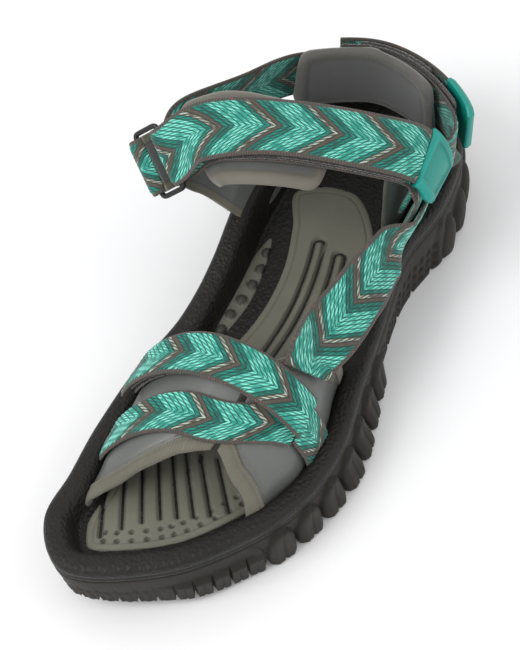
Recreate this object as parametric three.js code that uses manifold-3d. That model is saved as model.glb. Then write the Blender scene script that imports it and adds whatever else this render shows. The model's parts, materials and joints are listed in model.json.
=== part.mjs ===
// A strappy sport sandal for the left foot, toe towards -Y, lateral side towards +X, in millimetres.
// The rubber outsole is a cup that holds an EVA midsole; three inserts lie in the footbed. The upper is a
// two-panel toe vamp, a side strap, an ankle strap and a heel strap in 25 mm and 20 mm webbing. Three strap
// ends peel open on hook-and-loop tape.
import * as THREE from "three";
import { mergeVertices } from "three/addons/utils/BufferGeometryUtils.js";
import Module from "manifold-3d";

const wasm = await Module();
wasm.setup();

// ---------------------------------------------------------------- driving dimensions
const gap = 0.3; // clearance between neighbouring pieces
const soleLength = 268; // toe tip to heel end of the rim
const toeY = -137; // toe tip; the heel end lies at toeY + soleLength
const heelY = toeY + soleLength;
const ballHalf = { medial: 44.8, lateral: 48.7 }; // rim half widths at the ball
const waistHalf = { medial: 36.5, lateral: 38.5 }; // at the waist
const heelHalf = { medial: 38.5, lateral: 41 }; // at the heel
const rimHeight = { toe: 37, ball: 29.5, waist: 31, instep: 40, heel: 44 }; // top of the footbed rim
const bedHeight = { toe: 27, ball: 20.5, waist: 23, instep: 26, heel: 28 }; // footbed inside the rim
const toeSpring = 10; // how far the toe lifts off the ground
const toeSpringStart = -85;
const lipDrop = 8; // outsole lip below the rim top
const cupWall = 3.5; // side wall of the outsole cup
const cupFloor = 8; // ground to the top of the outsole's floor
const lugHeight = 4; // tread lugs below the floor
const lugReach = 4.5; // side lugs beyond the cup wall
const lugFlare = 4.5; // more on the outer side of the forefoot
const rimWidth = 7;
const insertThick = 3;
const noduleHeight = 1.6;
const webThick = 1.8; // webbing
const webWide = 25; // ankle, heel and side straps
const webNarrow = 17; // toe strap
const tapeThick = 1.2; // each half of the hook-and-loop tape
const panelThick = 1.8; // vamp and quarter panels
const bindingWide = 5; // binding tape on the panel edges
const padThick = 6.5; // ankle and heel pads
const tipThick = 3.4; // moulded pull tips
const ringWire = 2.2; // rectangular rings
const slotDepth = 7; // how deep the straps go into the midsole
const strapInset = 10; // rim edge to the inner face of a strap at the footbed
const insertInset = strapInset + 3.5; // rim edge to insert edge
const patternLength = 268; // sole length that the places along the upper are drawn for
const instepCrest = 92.5; // height of the ankle strap over the instep
const toeCrest = 51; // height of the vamp under the toe strap
const heelStrapHeight = 60; // middle of the heel strap at the back

// Layer heights above the inner face of a strap stack.
const layerGap = 0.8; // between the layers of a stack, which bend together
const stack = {
  base: [0, webThick],
  loop: [webThick + layerGap, webThick + layerGap + tapeThick],
};
stack.hook = [stack.loop[1] + 0.5, stack.loop[1] + 0.5 + tapeThick];
stack.tail = [stack.hook[1] + layerGap, stack.hook[1] + layerGap + webThick];

// A place along the pattern, graded to the sole's length.
const graded = (y) => toeY + ((y - toeY) * soleLength) / patternLength;

// ---------------------------------------------------------------- materials
const finish = {
  rubber: new THREE.MeshStandardMaterial({ color: 0x3a3832, roughness: 0.85 }),
  eva: new THREE.MeshStandardMaterial({ color: 0x2d2c29, roughness: 0.9 }),
  insert: new THREE.MeshStandardMaterial({ color: 0x77776c, roughness: 0.8 }),
  webbing: new THREE.MeshStandardMaterial({ color: 0x2fb59b, roughness: 0.85 }),
  panel: new THREE.MeshStandardMaterial({ color: 0x6d7372, roughness: 0.6 }),
  binding: new THREE.MeshStandardMaterial({ color: 0x8a877b, roughness: 0.9 }),
  tape: new THREE.MeshStandardMaterial({ color: 0x55524f, roughness: 1 }),
  tip: new THREE.MeshStandardMaterial({ color: 0x119a8b, roughness: 0.45 }),
  ring: new THREE.MeshStandardMaterial({ color: 0x1c1c1c, roughness: 0.4 }),
};

// ---------------------------------------------------------------- small helpers
const mix = (a, b, t) => a + (b - a) * t;
const clamp = (v, a, b) => Math.min(b, Math.max(a, v));

// A smooth curve through value pairs [y, value], flat beyond the first and the last pair.
function profile(pairs) {
  return (y) => {
    if (y <= pairs[0][0]) return pairs[0][1];
    for (let i = 1; i < pairs.length; i++) {
      if (y <= pairs[i][0]) {
        const t = (y - pairs[i - 1][0]) / (pairs[i][0] - pairs[i - 1][0]);
        return mix(pairs[i - 1][1], pairs[i][1], t * t * (3 - 2 * t));
      }
    }
    return pairs[pairs.length - 1][1];
  };
}

// A closed solid from a grid of points: rows of equal length, closed round each row, with both ends capped
// by triangles over the plan of capOutline, or over the plan of that row.
function closedRows(rows, capOutline = null) {
  const n = rows[0].length;
  const position = rows.flat(2);
  const index = [];
  for (let i = 0; i < rows.length - 1; i++) {
    for (let j = 0; j < n; j++) {
      const k = (j + 1) % n;
      const [a, b, c, d] = [i * n + j, i * n + k, (i + 1) * n + k, (i + 1) * n + j];
      index.push(a, b, c, a, c, d);
    }
  }
  const flat = (row) => row.map((p) => new THREE.Vector2(p[0], p[1]));
  const cap = (row, start, up) => {
    for (const [a, b, c] of THREE.ShapeUtils.triangulateShape(capOutline ?? flat(row), [])) {
      index.push(...(up ? [start + a, start + b, start + c] : [start + a, start + c, start + b]));
    }
  };
  cap(rows[0], 0, false);
  cap(rows[rows.length - 1], (rows.length - 1) * n, true);
  return new THREE.BufferGeometry()
    .setAttribute("position", new THREE.Float32BufferAttribute(position, 3))
    .setIndex(index);
}

// A closed box-like solid from a list of sections, each a closed polygon of points with the same count.
// The end sections are fans, so they have to be convex. The first half of a section is its lower face and the
// second half its upper face; both are divided the same way, so that stacked layers stay parallel.
function sweep(sections) {
  const n = sections[0].length;
  const position = sections.flat(2);
  const index = [];
  for (let i = 0; i < sections.length - 1; i++) {
    for (let j = 0; j < n; j++) {
      const k = (j + 1) % n;
      const [a, b, c, d] = [i * n + j, i * n + k, (i + 1) * n + k, (i + 1) * n + j];
      if (j < n / 2) index.push(a, b, c, a, c, d);
      else index.push(a, b, d, b, c, d);
    }
  }
  const last = (sections.length - 1) * n;
  for (let j = 1; j < n - 1; j++) {
    index.push(0, j + 1, j, last, last + j, last + j + 1);
  }
  return new THREE.BufferGeometry()
    .setAttribute("position", new THREE.Float32BufferAttribute(position, 3))
    .setIndex(index);
}

// manifold-3d solid of a geometry, turned outward where its faces point in.
function solid(geometry) {
  const bare = geometry.clone();
  bare.deleteAttribute("normal");
  bare.deleteAttribute("uv");
  const merged = mergeVertices(bare, 1e-4);
  const triVerts = new Uint32Array(merged.index.array);
  const make = () =>
    new wasm.Manifold(
      new wasm.Mesh({ numProp: 3, vertProperties: merged.attributes.position.array, triVerts }),
    );
  const made = make();
  if (made.volume() > 0) return made;
  for (let i = 0; i < triVerts.length; i += 3) {
    [triVerts[i + 1], triVerts[i + 2]] = [triVerts[i + 2], triVerts[i + 1]];
  }
  return make();
}

function geometryOf(manifold) {
  const mesh = manifold.getMesh();
  const position = new Float32Array(mesh.numVert * 3);
  for (let i = 0; i < mesh.numVert; i++) {
    position.set(mesh.vertProperties.subarray(i * mesh.numProp, i * mesh.numProp + 3), i * 3);
  }
  return new THREE.BufferGeometry()
    .setAttribute("position", new THREE.BufferAttribute(position, 3))
    .setIndex(new THREE.BufferAttribute(new Uint32Array(mesh.triVerts), 1));
}

const sandal = new THREE.Group();
const pieces = new Map();

function add(name, shape, material) {
  const mesh = new THREE.Mesh(geometryOf(shape), material);
  mesh.name = name;
  sandal.add(mesh);
  pieces.set(name, shape);
  return shape;
}

// ---------------------------------------------------------------- sole outline and heights
const alongSole = (share) => toeY + share * soleLength;
const outlinePoints = [
  [-24.7, toeY],
  [11, alongSole(0.056)],
  [31, alongSole(0.138)],
  [ballHalf.lateral - 4.5, alongSole(0.231)],
  [ballHalf.lateral, alongSole(0.343)],
  [mix(ballHalf.lateral, waistHalf.lateral, 0.45), alongSole(0.455)],
  [waistHalf.lateral + 1.3, alongSole(0.567)],
  [waistHalf.lateral - 2, alongSole(0.679)],
  [heelHalf.lateral, alongSole(0.791)],
  [heelHalf.lateral - 3.5, alongSole(0.896)],
  [24, alongSole(0.972)],
  [1, heelY],
  [-20, alongSole(0.972)],
  [-heelHalf.medial + 6, alongSole(0.896)],
  [-heelHalf.medial, alongSole(0.791)],
  [-heelHalf.medial - 0.5, alongSole(0.679)],
  [-waistHalf.medial, alongSole(0.567)],
  [-waistHalf.medial - 0.5, alongSole(0.455)],
  [-ballHalf.medial + 1.3, alongSole(0.343)],
  [-ballHalf.medial, alongSole(0.231)],
  [-ballHalf.medial + 2.5, alongSole(0.138)],
  [-ballHalf.medial + 4.5, alongSole(0.056)],
].map(([x, y]) => new THREE.Vector3(x, y, 0));
const outline = new THREE.CatmullRomCurve3(outlinePoints, true, "centripetal");
const rimCount = 88;
const rim = [];
for (let i = 0; i < rimCount; i++) {
  const p = outline.getPointAt(i / rimCount);
  const d = outline.getTangentAt(i / rimCount);
  rim.push({ x: p.x, y: p.y, nx: d.y, ny: -d.x, share: i / rimCount }); // outward normal
}
const rimPoint = (r, outset, z) => [r.x + r.nx * outset, r.y + r.ny * outset, z];
// Further in, the rows of the sole close in on its middle line.
const middleLine = profile([
  [toeY + 30, -12],
  [graded(-45), 2],
  [graded(20), 0],
  [heelY - 32, 1],
]);
function inwardPoint(r, share, z) {
  const y = clamp(r.y, toeY + 30, heelY - 32);
  const [px, py] = [r.x - r.nx * 12, r.y - r.ny * 12];
  const at = [mix(px, middleLine(y), share), mix(py, y, share)];
  return [at[0], at[1], z(at[1])];
}

// x of the rim at a distance along the sole, on one side of it.
function sideX(y, side) {
  let best = side * 20;
  for (const r of rim) {
    if (Math.abs(r.y - y) < 4 && r.x * side > best * side) best = r.x;
  }
  return best;
}
const lateralX = (y) => sideX(y, 1);
const medialX = (y) => sideX(y, -1);

const rimTop = profile([
  [toeY, rimHeight.toe],
  [graded(-60), rimHeight.ball],
  [graded(0), rimHeight.waist],
  [graded(60), rimHeight.instep],
  [heelY, rimHeight.heel],
]);
const bedTop = profile([
  [toeY, bedHeight.toe],
  [graded(-60), bedHeight.ball],
  [graded(0), bedHeight.waist],
  [graded(60), bedHeight.instep],
  [heelY, bedHeight.heel],
]);
function ground(y) {
  const start = graded(toeSpringStart);
  const t = clamp((start - y) / (start - toeY), 0, 1);
  return toeSpring * t * t;
}
const archFlare = (r) => (r.x < 0 ? 5 * Math.exp(-(((r.y - graded(25)) / 38) ** 2)) : 0);
const topOf = (r) => rimTop(r.y) + archFlare(r);
const lipOf = (r) => topOf(r) - lipDrop;

// ---------------------------------------------------------------- outsole
const lugCount = 22;
// 1 on a side lug, 0 in the notch between two, fading out round the toe.
function lugAt(share) {
  const wave = 0.5 - 0.5 * Math.cos(2 * Math.PI * lugCount * share);
  return clamp(wave * 1.9 - 0.35, 0, 1);
}
const lugFade = (y) => clamp((y - (toeY + 12)) / 30, 0.25, 1) * (1 - 0.85 * Math.exp(-(((y - graded(30)) / 26) ** 2)));
const flareAt = (r) => (r.x > 0 ? lugFlare * Math.exp(-(((r.y - graded(-30)) / 32) ** 2)) : 0);

function makeOutsole() {
  const level = (outset, z) => rim.map((r) => rimPoint(r, outset(r), z(r)));
  const inward = (share, z) => rim.map((r) => inwardPoint(r, share, z));
  const lug = (r) => lugAt(r.share) * lugFade(r.y);
  const floor = (r) => ground(r.y) + lugHeight;
  const foot = (r) => ground(r.y) + lugHeight * (1 - lugAt(r.share));
  const rows = [
    inward(0.95, (y) => ground(y) + lugHeight),
    inward(0.45, (y) => ground(y) + lugHeight),
    level(() => -9, floor),
    level(() => -8, foot),
    level((r) => -1 + (lugReach * 0.6 + flareAt(r)) * lug(r), foot),
    level((r) => (lugReach + flareAt(r) * 0.6) * lug(r), (r) => mix(foot(r), lipOf(r), 0.35)),
    level((r) => 0.5 + lugReach * lug(r) * 0.45, (r) => mix(foot(r), lipOf(r), 0.75)),
    level(() => 1.5, lipOf),
    level(() => -cupWall, lipOf),
    level(() => -cupWall - 1, (r) => ground(r.y) + cupFloor),
    inward(0.45, (y) => ground(y) + cupFloor),
    inward(0.95, (y) => ground(y) + cupFloor),
  ];
  let body = solid(closedRows(rows));
  for (const y of [-92, -74, -56, -38, -20, 62, 80, 98].map(graded)) {
    const wide = y < graded(0) ? 44 : 30;
    const shape = new THREE.Shape();
    shape.moveTo(-wide / 2, -3);
    shape.lineTo(0, -9);
    shape.lineTo(wide / 2, -3);
    shape.lineTo(wide / 2, 5);
    shape.lineTo(0, -1);
    shape.lineTo(-wide / 2, 5);
    shape.closePath();
    const bar = new THREE.ExtrudeGeometry(shape, { depth: lugHeight + 1, bevelEnabled: false });
    bar.translate(0, y, ground(y));
    body = body.add(solid(bar));
  }
  const post = new THREE.BoxGeometry(22, 12, lugHeight + 1);
  post.translate(0, graded(45), (lugHeight + 1) / 2);
  return body.add(solid(post));
}

// ---------------------------------------------------------------- midsole, a blank that the slots are cut into
function makeMidsole() {
  const level = (outset, z) => rim.map((r) => rimPoint(r, outset, z(r)));
  const inward = (share, z) => rim.map((r) => inwardPoint(r, share, z));
  const rows = [
    inward(0.95, (y) => ground(y) + cupFloor + gap),
    inward(0.45, (y) => ground(y) + cupFloor + gap),
    level(-cupWall - 1 - gap, (r) => ground(r.y) + cupFloor + gap),
    level(-cupWall - gap, (r) => lipOf(r) + gap),
    level(1, (r) => lipOf(r) + gap),
    level(1.2, (r) => topOf(r) - 3),
    level(-1, topOf),
    level(-rimWidth, (r) => topOf(r) - 1),
    level(-rimWidth - 3, (r) => bedTop(r.y)),
    inward(0.45, bedTop),
    inward(0.95, bedTop),
  ];
  return solid(closedRows(rows));
}

// ---------------------------------------------------------------- footbed inserts
// An insert follows the footbed: outline points, and how far its top stands above the bed.
function insertPlate(points, sunk, proud, step, outset = 0) {
  const curve = new THREE.CatmullRomCurve3(
    points.map(([x, y]) => new THREE.Vector3(x, y, 0)),
    true,
    "centripetal",
  );
  const ring = curve.getSpacedPoints(step).slice(0, step);
  if (THREE.ShapeUtils.isClockWise(ring)) ring.reverse();
  const outward = ring.map((p, i) => {
    const [a, b] = [ring[(i + step - 1) % step], ring[(i + 1) % step]];
    const long = Math.hypot(b.x - a.x, b.y - a.y);
    return [p.x + (outset * (b.y - a.y)) / long, p.y - (outset * (b.x - a.x)) / long];
  });
  const row = (z) => outward.map(([x, y], i) => [x, y, bedTop(ring[i].y) + z]);
  return solid(closedRows([row(-sunk), row(proud)], ring));
}
// How far round the rim a place on one side of it is.
function shareAt(y, side) {
  const near = rim.filter((r) => r.x * side > 10).sort((a, b) => Math.abs(a.y - y) - Math.abs(b.y - y));
  return near[0].share;
}
// Points of the rim set in by a distance, between two shares of the way round it.
function insetRun(from, to, count, inset) {
  const run = [];
  for (let i = 0; i <= count; i++) {
    const share = (mix(from, to, i / count) + 1) % 1;
    const p = outline.getPointAt(share);
    const d = outline.getTangentAt(share);
    run.push([p.x - d.y * inset, p.y + d.x * inset]);
  }
  return run;
}
function domes(points, radius, z0) {
  let all = null;
  for (const [x, y] of points) {
    const dome = new THREE.ConeGeometry(radius, noduleHeight + 1, 7);
    dome.rotateX(Math.PI / 2);
    dome.translate(x, y, z0(y) + (noduleHeight + 1) / 2 - 1);
    const one = solid(dome);
    all = all ? all.add(one) : one;
  }
  return all;
}

const flapSet = 4.6; // ankle anchor to the outer face of the padded flap inside it
const insertPoints = [
  ...insetRun(-0.05, 0.33, 14, insertInset),
  [lateralX(graded(36)) - insertInset, graded(36)],
  [lateralX(graded(58)) - strapInset - flapSet - padThick / 2 - 3, graded(56)],
  [0, graded(74)],
  [-24, graded(66)],
  [-17, graded(48)],
  [-11.5, graded(28)],
  [-10.5, graded(6)],
  [-14, graded(-14)],
  [-24, graded(-32)],
  ...insetRun(0.83, 0.93, 3, insertInset),
];
const archEdge = medialX(graded(20)) + strapInset;
const archPoints = [
  [archEdge + 3, graded(40)],
  [-19, graded(22)],
  [-18, graded(4)],
  [-22.5, graded(-16)],
  [archEdge + 1.5, graded(-8)],
  [archEdge, graded(12)],
  [archEdge + 0.5, graded(32)],
];
const ankleY = graded(62); // where the ankle anchor leaves the sole
const flapY = ankleY + 7;
const flapWide = 32;
const heelInsertFrom = flapY + flapWide / 2 + 4;
const heelPoints = [
  ...insetRun(shareAt(heelInsertFrom + 2, 1), shareAt(heelInsertFrom + 4, -1), 12, insertInset),
  [-14, heelInsertFrom],
  [6, heelInsertFrom - 2],
];

// ---------------------------------------------------------------- toe vamp surface
// The arch over the forefoot. q runs from below 0 (the lateral slot) through 0 to 180 and beyond (the medial
// slot); h is the height above the surface.
const vampSlope = 0.4; // rise of its crest towards the instep
const vampCrest = (y) => toeCrest + vampSlope * (y - graded(-62));
const vampPlaces = [-110, -95, -80, -60, -40, -20, 0].map(graded);
const vampLateral = profile(vampPlaces.map((y) => [y, lateralX(y) - strapInset]));
const vampMedial = profile(vampPlaces.map((y) => [y, medialX(y) + strapInset]));
const slotSlope = 0.4;
const slotQ = slotDepth / slotSlope;
function vamp(y, q, h) {
  const half = (vampLateral(y) - vampMedial(y)) / 2;
  const centre = (vampLateral(y) + vampMedial(y)) / 2;
  const foot = bedTop(y) + 2;
  const rise = vampCrest(y) - foot;
  const a = THREE.MathUtils.degToRad(clamp(q, 0, 180));
  const power = 2 / 2.3;
  const c = Math.cos(a);
  const x = centre + (half + h) * Math.sign(c) * Math.abs(c) ** power;
  const below = Math.min(0, q, 180 - q) * slotSlope;
  return [x, y, foot + (rise + h) * Math.sin(a) ** power + below];
}
// Both ends and the multiples of step between them, so that stacked layers share their facets.
function gridBetween(from, to, step) {
  const grid = [from];
  for (let k = Math.ceil(from / step + 0.15); k * step < to - 0.15 * step; k++) grid.push(k * step);
  return [...grid, to];
}
// A piece on the vamp between two q values, with its front and rear edge as functions of q.
function onVamp({ from, to, front, rear, low, high, rows = 2, step = 8 }) {
  const sections = [];
  for (const q of gridBetween(from, to, step)) {
    const section = [];
    for (let j = 0; j <= rows; j++) section.push(vamp(mix(front(q), rear(q), j / rows), q, low));
    for (let j = rows; j >= 0; j--) section.push(vamp(mix(front(q), rear(q), j / rows), q, high));
    sections.push(section);
  }
  return solid(sweep(sections));
}
// The same piece grown by the clearance, to cut its slot.
const grown = (piece) => ({
  ...piece,
  low: piece.low - gap,
  high: piece.high + gap,
  front: (q) => piece.front(q) - gap,
  rear: (q) => piece.rear(q) + gap,
  from: piece.from < 10 ? piece.from - 1 : piece.from,
  to: piece.to > 170 ? piece.to + 1 : piece.to,
});

// ---------------------------------------------------------------- free straps
// A strap through stations [x, y, z, wx, wy, wz, width]: the middle of its inner face, the direction across
// it and, where it isn't constant, its width.
function strapPath(stations, wide) {
  const curve = (points) => new THREE.CatmullRomCurve3(points, false, "centripetal");
  const centre = curve(stations.map((s) => new THREE.Vector3(s[0], s[1], s[2])));
  const count = stations.length - 1;
  const blendAt = (t, k) => {
    const i = Math.min(count - 1, Math.floor(t * count));
    const f = t * count - i;
    return mix(stations[i][k] ?? wide, stations[i + 1][k] ?? wide, f * f * (3 - 2 * f));
  };
  const path = (t, side, height, shift = 0) => {
    const f = path.frame(t);
    const p = f.p.clone();
    return p.addScaledVector(f.w, side * f.half + shift).addScaledVector(f.n, height).toArray();
  };
  path.frame = (t) => {
    const along = centre.getTangent(t);
    const w = new THREE.Vector3(blendAt(t, 3), blendAt(t, 4), blendAt(t, 5));
    w.addScaledVector(along, -w.dot(along)).normalize();
    const n = new THREE.Vector3().crossVectors(along, w).normalize();
    return { p: centre.getPoint(t), along, w, n, half: blendAt(t, 6) / 2 };
  };
  return path;
}
// A band on such a path between two t values, low to high above its inner face, with each edge moved out.
// A bulging band is a pad: its inner side is rounded towards the edges and the ends.
const pathStep = 1 / 32;
function band(path, { from = 0, to = 1, low, high, edges = [0, 0], bulge = false }) {
  const grid = gridBetween(from, to, pathStep);
  const sections = grid.map((t, i) => {
    const fromEnd = Math.min(i, grid.length - 1 - i);
    const deep = bulge ? mix(high, low, Math.min(1, 0.45 + 0.4 * fromEnd)) : low;
    const at = (side, height) => path(t, side, height, side < 0 ? -edges[0] : edges[1]);
    const mid = (side, height) => path(t, side, height, (side < 0 ? -edges[0] : edges[1]) - side * 3);
    const inner = bulge
      ? [at(-1, mix(deep, high, 0.5)), mid(-1, deep), mid(1, deep), at(1, mix(deep, high, 0.5))]
      : [at(-1, deep), at(1, deep)];
    return [...inner, at(1, high), at(-1, high)];
  });
  return solid(sweep(sections));
}
const grownBand = (path, b) =>
  band(path, { ...b, low: b.low - gap, high: b.high + gap, edges: (b.edges ?? [0, 0]).map((e) => e + gap) });

// A half turn of webbing round a ring bar at the end of a path, from the layer that starts at low to the one
// that starts at stack.tail[0], with a leg along the path on the near layer.
const barHeight = (webThick + stack.tail[0]) / 2;
const turnRadius = (stack.tail[0] - webThick) / 2;
function turn(path, end, direction, { narrower = 0 } = {}) {
  const f = path.frame(end);
  const half = f.half - narrower;
  const sections = [];
  const count = 7;
  for (let i = 0; i <= count; i++) {
    const a = -Math.PI / 2 + (Math.PI * i) / count;
    const at = (side, r) =>
      f.p
        .clone()
        .addScaledVector(f.w, side * half)
        .addScaledVector(f.n, barHeight + r * Math.sin(a))
        .addScaledVector(f.along, direction * (gap + r * Math.cos(a)))
        .toArray();
    const outer = turnRadius + webThick;
    sections.push([at(-1, outer), at(1, outer), at(1, turnRadius), at(-1, turnRadius)]);
  }
  return solid(sweep(sections));
}
// The middle of the bar inside such a turn.
function barOf(path, end, direction) {
  const f = path.frame(end);
  const p = f.p.clone().addScaledVector(f.n, barHeight).addScaledVector(f.along, direction * gap);
  return { ...f, p };
}
// A rectangular ring: first bar at p along w, second bar reach further on along the path direction.
function ring(bar, direction, inner, reach) {
  const frame = new THREE.Matrix4().makeBasis(
    bar.w,
    bar.along.clone().multiplyScalar(direction),
    new THREE.Vector3().crossVectors(bar.w, bar.along.clone().multiplyScalar(direction)),
  );
  frame.setPosition(bar.p.clone().addScaledVector(bar.along, (direction * reach) / 2));
  const block = (x, y, z) => solid(new THREE.BoxGeometry(x, y, z).applyMatrix4(frame));
  const outer = block(inner + 2 * ringWire, reach + ringWire, ringWire);
  return outer.subtract(block(inner, reach - ringWire, ringWire * 2));
}

// ---------------------------------------------------------------- strap paths
const anchorX = lateralX(ankleY) - strapInset + 1;
const ankleBed = bedTop(ankleY);
// Lateral slot, up the outer ankle and over the instep to the medial ring.
const rimAtAnkle = rimTop(ankleY);
const junctionZ = rimAtAnkle + webWide * 0.42 + 1.2; // middle of the straps that meet at the outer ankle
const anklePath = strapPath(
  [
    [anchorX, ankleY, ankleBed - slotDepth, 0, -1, 0],
    [anchorX + 0.5, ankleY, ankleBed + 6, 0, -1, 0],
    [anchorX + 3, ankleY, junctionZ - 7, 0, -1, 0],
    [anchorX + 7.5, ankleY + 1, junctionZ + 6, 0.05, -0.98, -0.1],
    [anchorX + 9, ankleY + 2, junctionZ + 15, 0.1, -0.96, -0.2],
    [anchorX + 5, ankleY + 3, instepCrest - 16.5, 0.19, -0.94, -0.3],
    [20, ankleY - 5, instepCrest - 6.5, 0.3, -0.91, -0.25],
    [-12, ankleY - 16, instepCrest, 0.36, -0.9, -0.2],
    [-42, ankleY - 23, instepCrest - 4, 0.41, -0.78, -0.42],
    [-58, ankleY - 30, instepCrest - 16, 0.46, -0.55, -0.7],
  ],
  webWide,
);
const tipAt = 18 / 32; // where the ankle strap's tip meets its tail
const ankleEnd = 1;
const ankleBar = barOf(anklePath, ankleEnd, 1);
const ringReach = 12;
const lowerBar = ankleBar.p.clone().addScaledVector(ankleBar.along, ringReach);

// Medial slot, up the inner side to the lower bar of the ankle ring.
const quarterY = graded(55);
const quarterX = medialX(quarterY) + strapInset;
const quarterBed = bedTop(quarterY);
const quarterBelly = new THREE.Vector3(quarterX - 24, quarterY - 12, quarterBed + 34);
const quarterUp = lowerBar.clone().sub(quarterBelly);
const quarterAcross = ankleBar.w.clone().negate();
quarterUp.addScaledVector(quarterAcross, -quarterUp.dot(quarterAcross)).normalize();
const quarterOut = new THREE.Vector3().crossVectors(quarterUp, quarterAcross);
const quarterTop = lowerBar
  .clone()
  .addScaledVector(quarterOut, -barHeight)
  .addScaledVector(quarterUp, -gap);
const quarterWide = webWide + 15;
const quarterPath = strapPath(
  [
    [quarterX, quarterY, quarterBed - slotDepth, 0, 1, 0, quarterWide],
    [quarterX - 1, quarterY - 1, quarterBed + 8, 0, 1, 0, quarterWide],
    [quarterX - 10, quarterY - 5, quarterBed + 22, -0.1, 0.98, 0.15, quarterWide * 0.82],
    [...quarterBelly.toArray(), -0.25, 0.8, 0.4, webWide + 1],
    [...quarterTop.clone().addScaledVector(quarterUp, -9).toArray(), ...quarterAcross.toArray(), webWide],
    [...quarterTop.toArray(), ...quarterAcross.toArray(), webWide],
  ],
  quarterWide,
);

// Medial quarter, round the heel and forward to the inside of the ankle anchor.
const heelStart = quarterPath.frame(0.66);
const heelFrom = (side) => quarterPath(0.66, side, panelThick + gap + 1.6);
const heelFirst = heelStart.along.clone().negate().toArray();
const junctionAt = 0.28; // where the heel strap and the diagonal meet the ankle strap
const junction = anklePath.frame(junctionAt);
const junctionDown = junction.along.clone().negate().toArray();
const backY = heelY - 15;
const backSpan = backY - ankleY;
const heelPath = strapPath(
  [
    [...heelFrom(0.1), ...heelFirst],
    [...heelFrom(1.2), ...heelFirst],
    [-48, backY - 0.67 * backSpan, heelStrapHeight + 8, 0, 0.1, -1],
    [-34, backY - 0.28 * backSpan, heelStrapHeight + 3, 0, 0, -1],
    [-5, backY, heelStrapHeight, 0, 0, -1],
    [26, backY - 0.19 * backSpan, heelStrapHeight + 2, 0, 0, -1],
    [40, backY - 0.48 * backSpan, heelStrapHeight + 1, -0.1, 0, -1],
    [...anklePath(junctionAt, -1.35, -webThick - 2.4), ...junctionDown, webWide * 0.84],
    [...anklePath(junctionAt, 0.1, -webThick - 2.2), ...junctionDown, webWide * 0.84],
  ],
  webWide,
);

const toeRingY = graded(-49); // where the toe straps meet
// Ankle junction forward to the vamp's lateral shoulder.
const onShoulder = (y) => {
  const across = new THREE.Vector3(...vamp(y, 32, 3.2)).sub(new THREE.Vector3(...vamp(y, 54, 3.2)));
  return [...vamp(y, 43, 3.4), ...across.normalize().toArray()];
};
const diagonalPath = strapPath(
  [
    [...anklePath(junctionAt, -0.4, webThick + gap + 0.6), ...junctionDown, webWide * 0.84],
    [...anklePath(junctionAt, 1.15, webThick + gap + 0.6), ...junctionDown, webWide * 0.84],
    [lateralX(graded(35)) - 1, graded(32), junctionZ + 2, 0.4, -0.05, -0.92],
    [lateralX(graded(10)) - 6, graded(10), junctionZ + 3, 0.68, 0, -0.73],
    [lateralX(graded(-12)) - 12, graded(-10), junctionZ + 2, 0.85, 0, -0.5],
    onShoulder(graded(-25)),
    onShoulder(toeRingY + webNarrow / 2 + 8),
  ],
  webWide,
);

// Padded flap inside the outer ankle.
const flapX = anchorX - flapSet;
const flapPath = strapPath(
  [
    [flapX, flapY, bedTop(flapY) - slotDepth, 0, -1, 0, flapWide],
    [flapX, flapY, bedTop(flapY) + 10, 0, -1, 0, flapWide],
    [flapX + 1.5, flapY, bedTop(flapY) + 32, 0, -1, 0, flapWide - 2],
    [flapX + 1, flapY + 4, bedTop(flapY) + 52, 0, -1, 0, flapWide - 12],
  ],
  flapWide,
);

// ---------------------------------------------------------------- vamp pieces
const toeGap = 1; // between layers that follow the vamp in different places
const toeLayer = { low: panelThick + toeGap, high: panelThick + toeGap + webThick };
const medialFront = profile([
  [78, graded(-66)],
  [95, graded(-76)],
  [117, graded(-89)],
  [140, graded(-98)],
  [180, graded(-102)],
]);
const lateralFront = profile([
  [5, graded(-82)],
  [55, graded(-75)],
  [73, graded(-66)],
]);
const lateralRear = profile([
  [15, graded(-18)],
  [45, graded(-30)],
  [73, graded(-44)],
]);
const medialPanel = {
  from: 77, to: 180 + slotQ, front: medialFront, rear: () => toeRingY + 7, low: 0, high: panelThick, rows: 2,
};
const lateralPanel = {
  from: -slotQ, to: 73, front: lateralFront, rear: lateralRear, low: 0, high: panelThick, rows: 3,
};
const edging = (panel, edge, sign) => ({
  from: Math.max(panel.from, -slotQ),
  to: Math.min(panel.to, 180 + slotQ),
  front: (q) => edge(q) + (sign < 0 ? -bindingWide - gap : gap),
  rear: (q) => edge(q) + (sign < 0 ? -gap : bindingWide + gap),
  low: -0.5,
  high: panelThick + 0.5,
});
const medialBinding = edging(medialPanel, medialPanel.front, -1);
const lateralBinding = edging(lateralPanel, lateralPanel.front, -1);
const lateralRearBinding = edging(lateralPanel, lateralPanel.rear, 1);

const toeRingQ = 27; // where the toe ring lies
const frontRunY = profile([
  [toeRingQ, toeRingY - 2],
  [90, toeRingY - 17],
  [168, toeRingY - 31],
]);
const rearRunY = profile([
  [toeRingQ, toeRingY + 1],
  [90, toeRingY + 4],
  [168, toeRingY - 4],
]);
const run = (middle, wide, low, high, from, to) => ({
  from, to, front: (q) => middle(q) - wide / 2, rear: (q) => middle(q) + wide / 2, low, high,
});
const toeStack = {
  front: [toeLayer.low, toeLayer.high],
  loop: [toeLayer.low, toeLayer.low + tapeThick],
};
toeStack.hook = [toeStack.loop[1] + toeGap, toeStack.loop[1] + toeGap + tapeThick];
toeStack.rear = [toeStack.hook[1] + gap, toeStack.hook[1] + gap + webThick];
const tailFrom = toeRingQ + 8;
const frontRun = run(frontRunY, webNarrow, ...toeStack.front, tailFrom, 180 + slotQ);
const toeLoop = run(rearRunY, webNarrow - 5, ...toeStack.loop, 86, 156);
const toeHook = run(rearRunY, webNarrow - 3, ...toeStack.hook, 86, 152);
const rearRun = run(rearRunY, webNarrow, ...toeStack.rear, tailFrom, 162);
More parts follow.
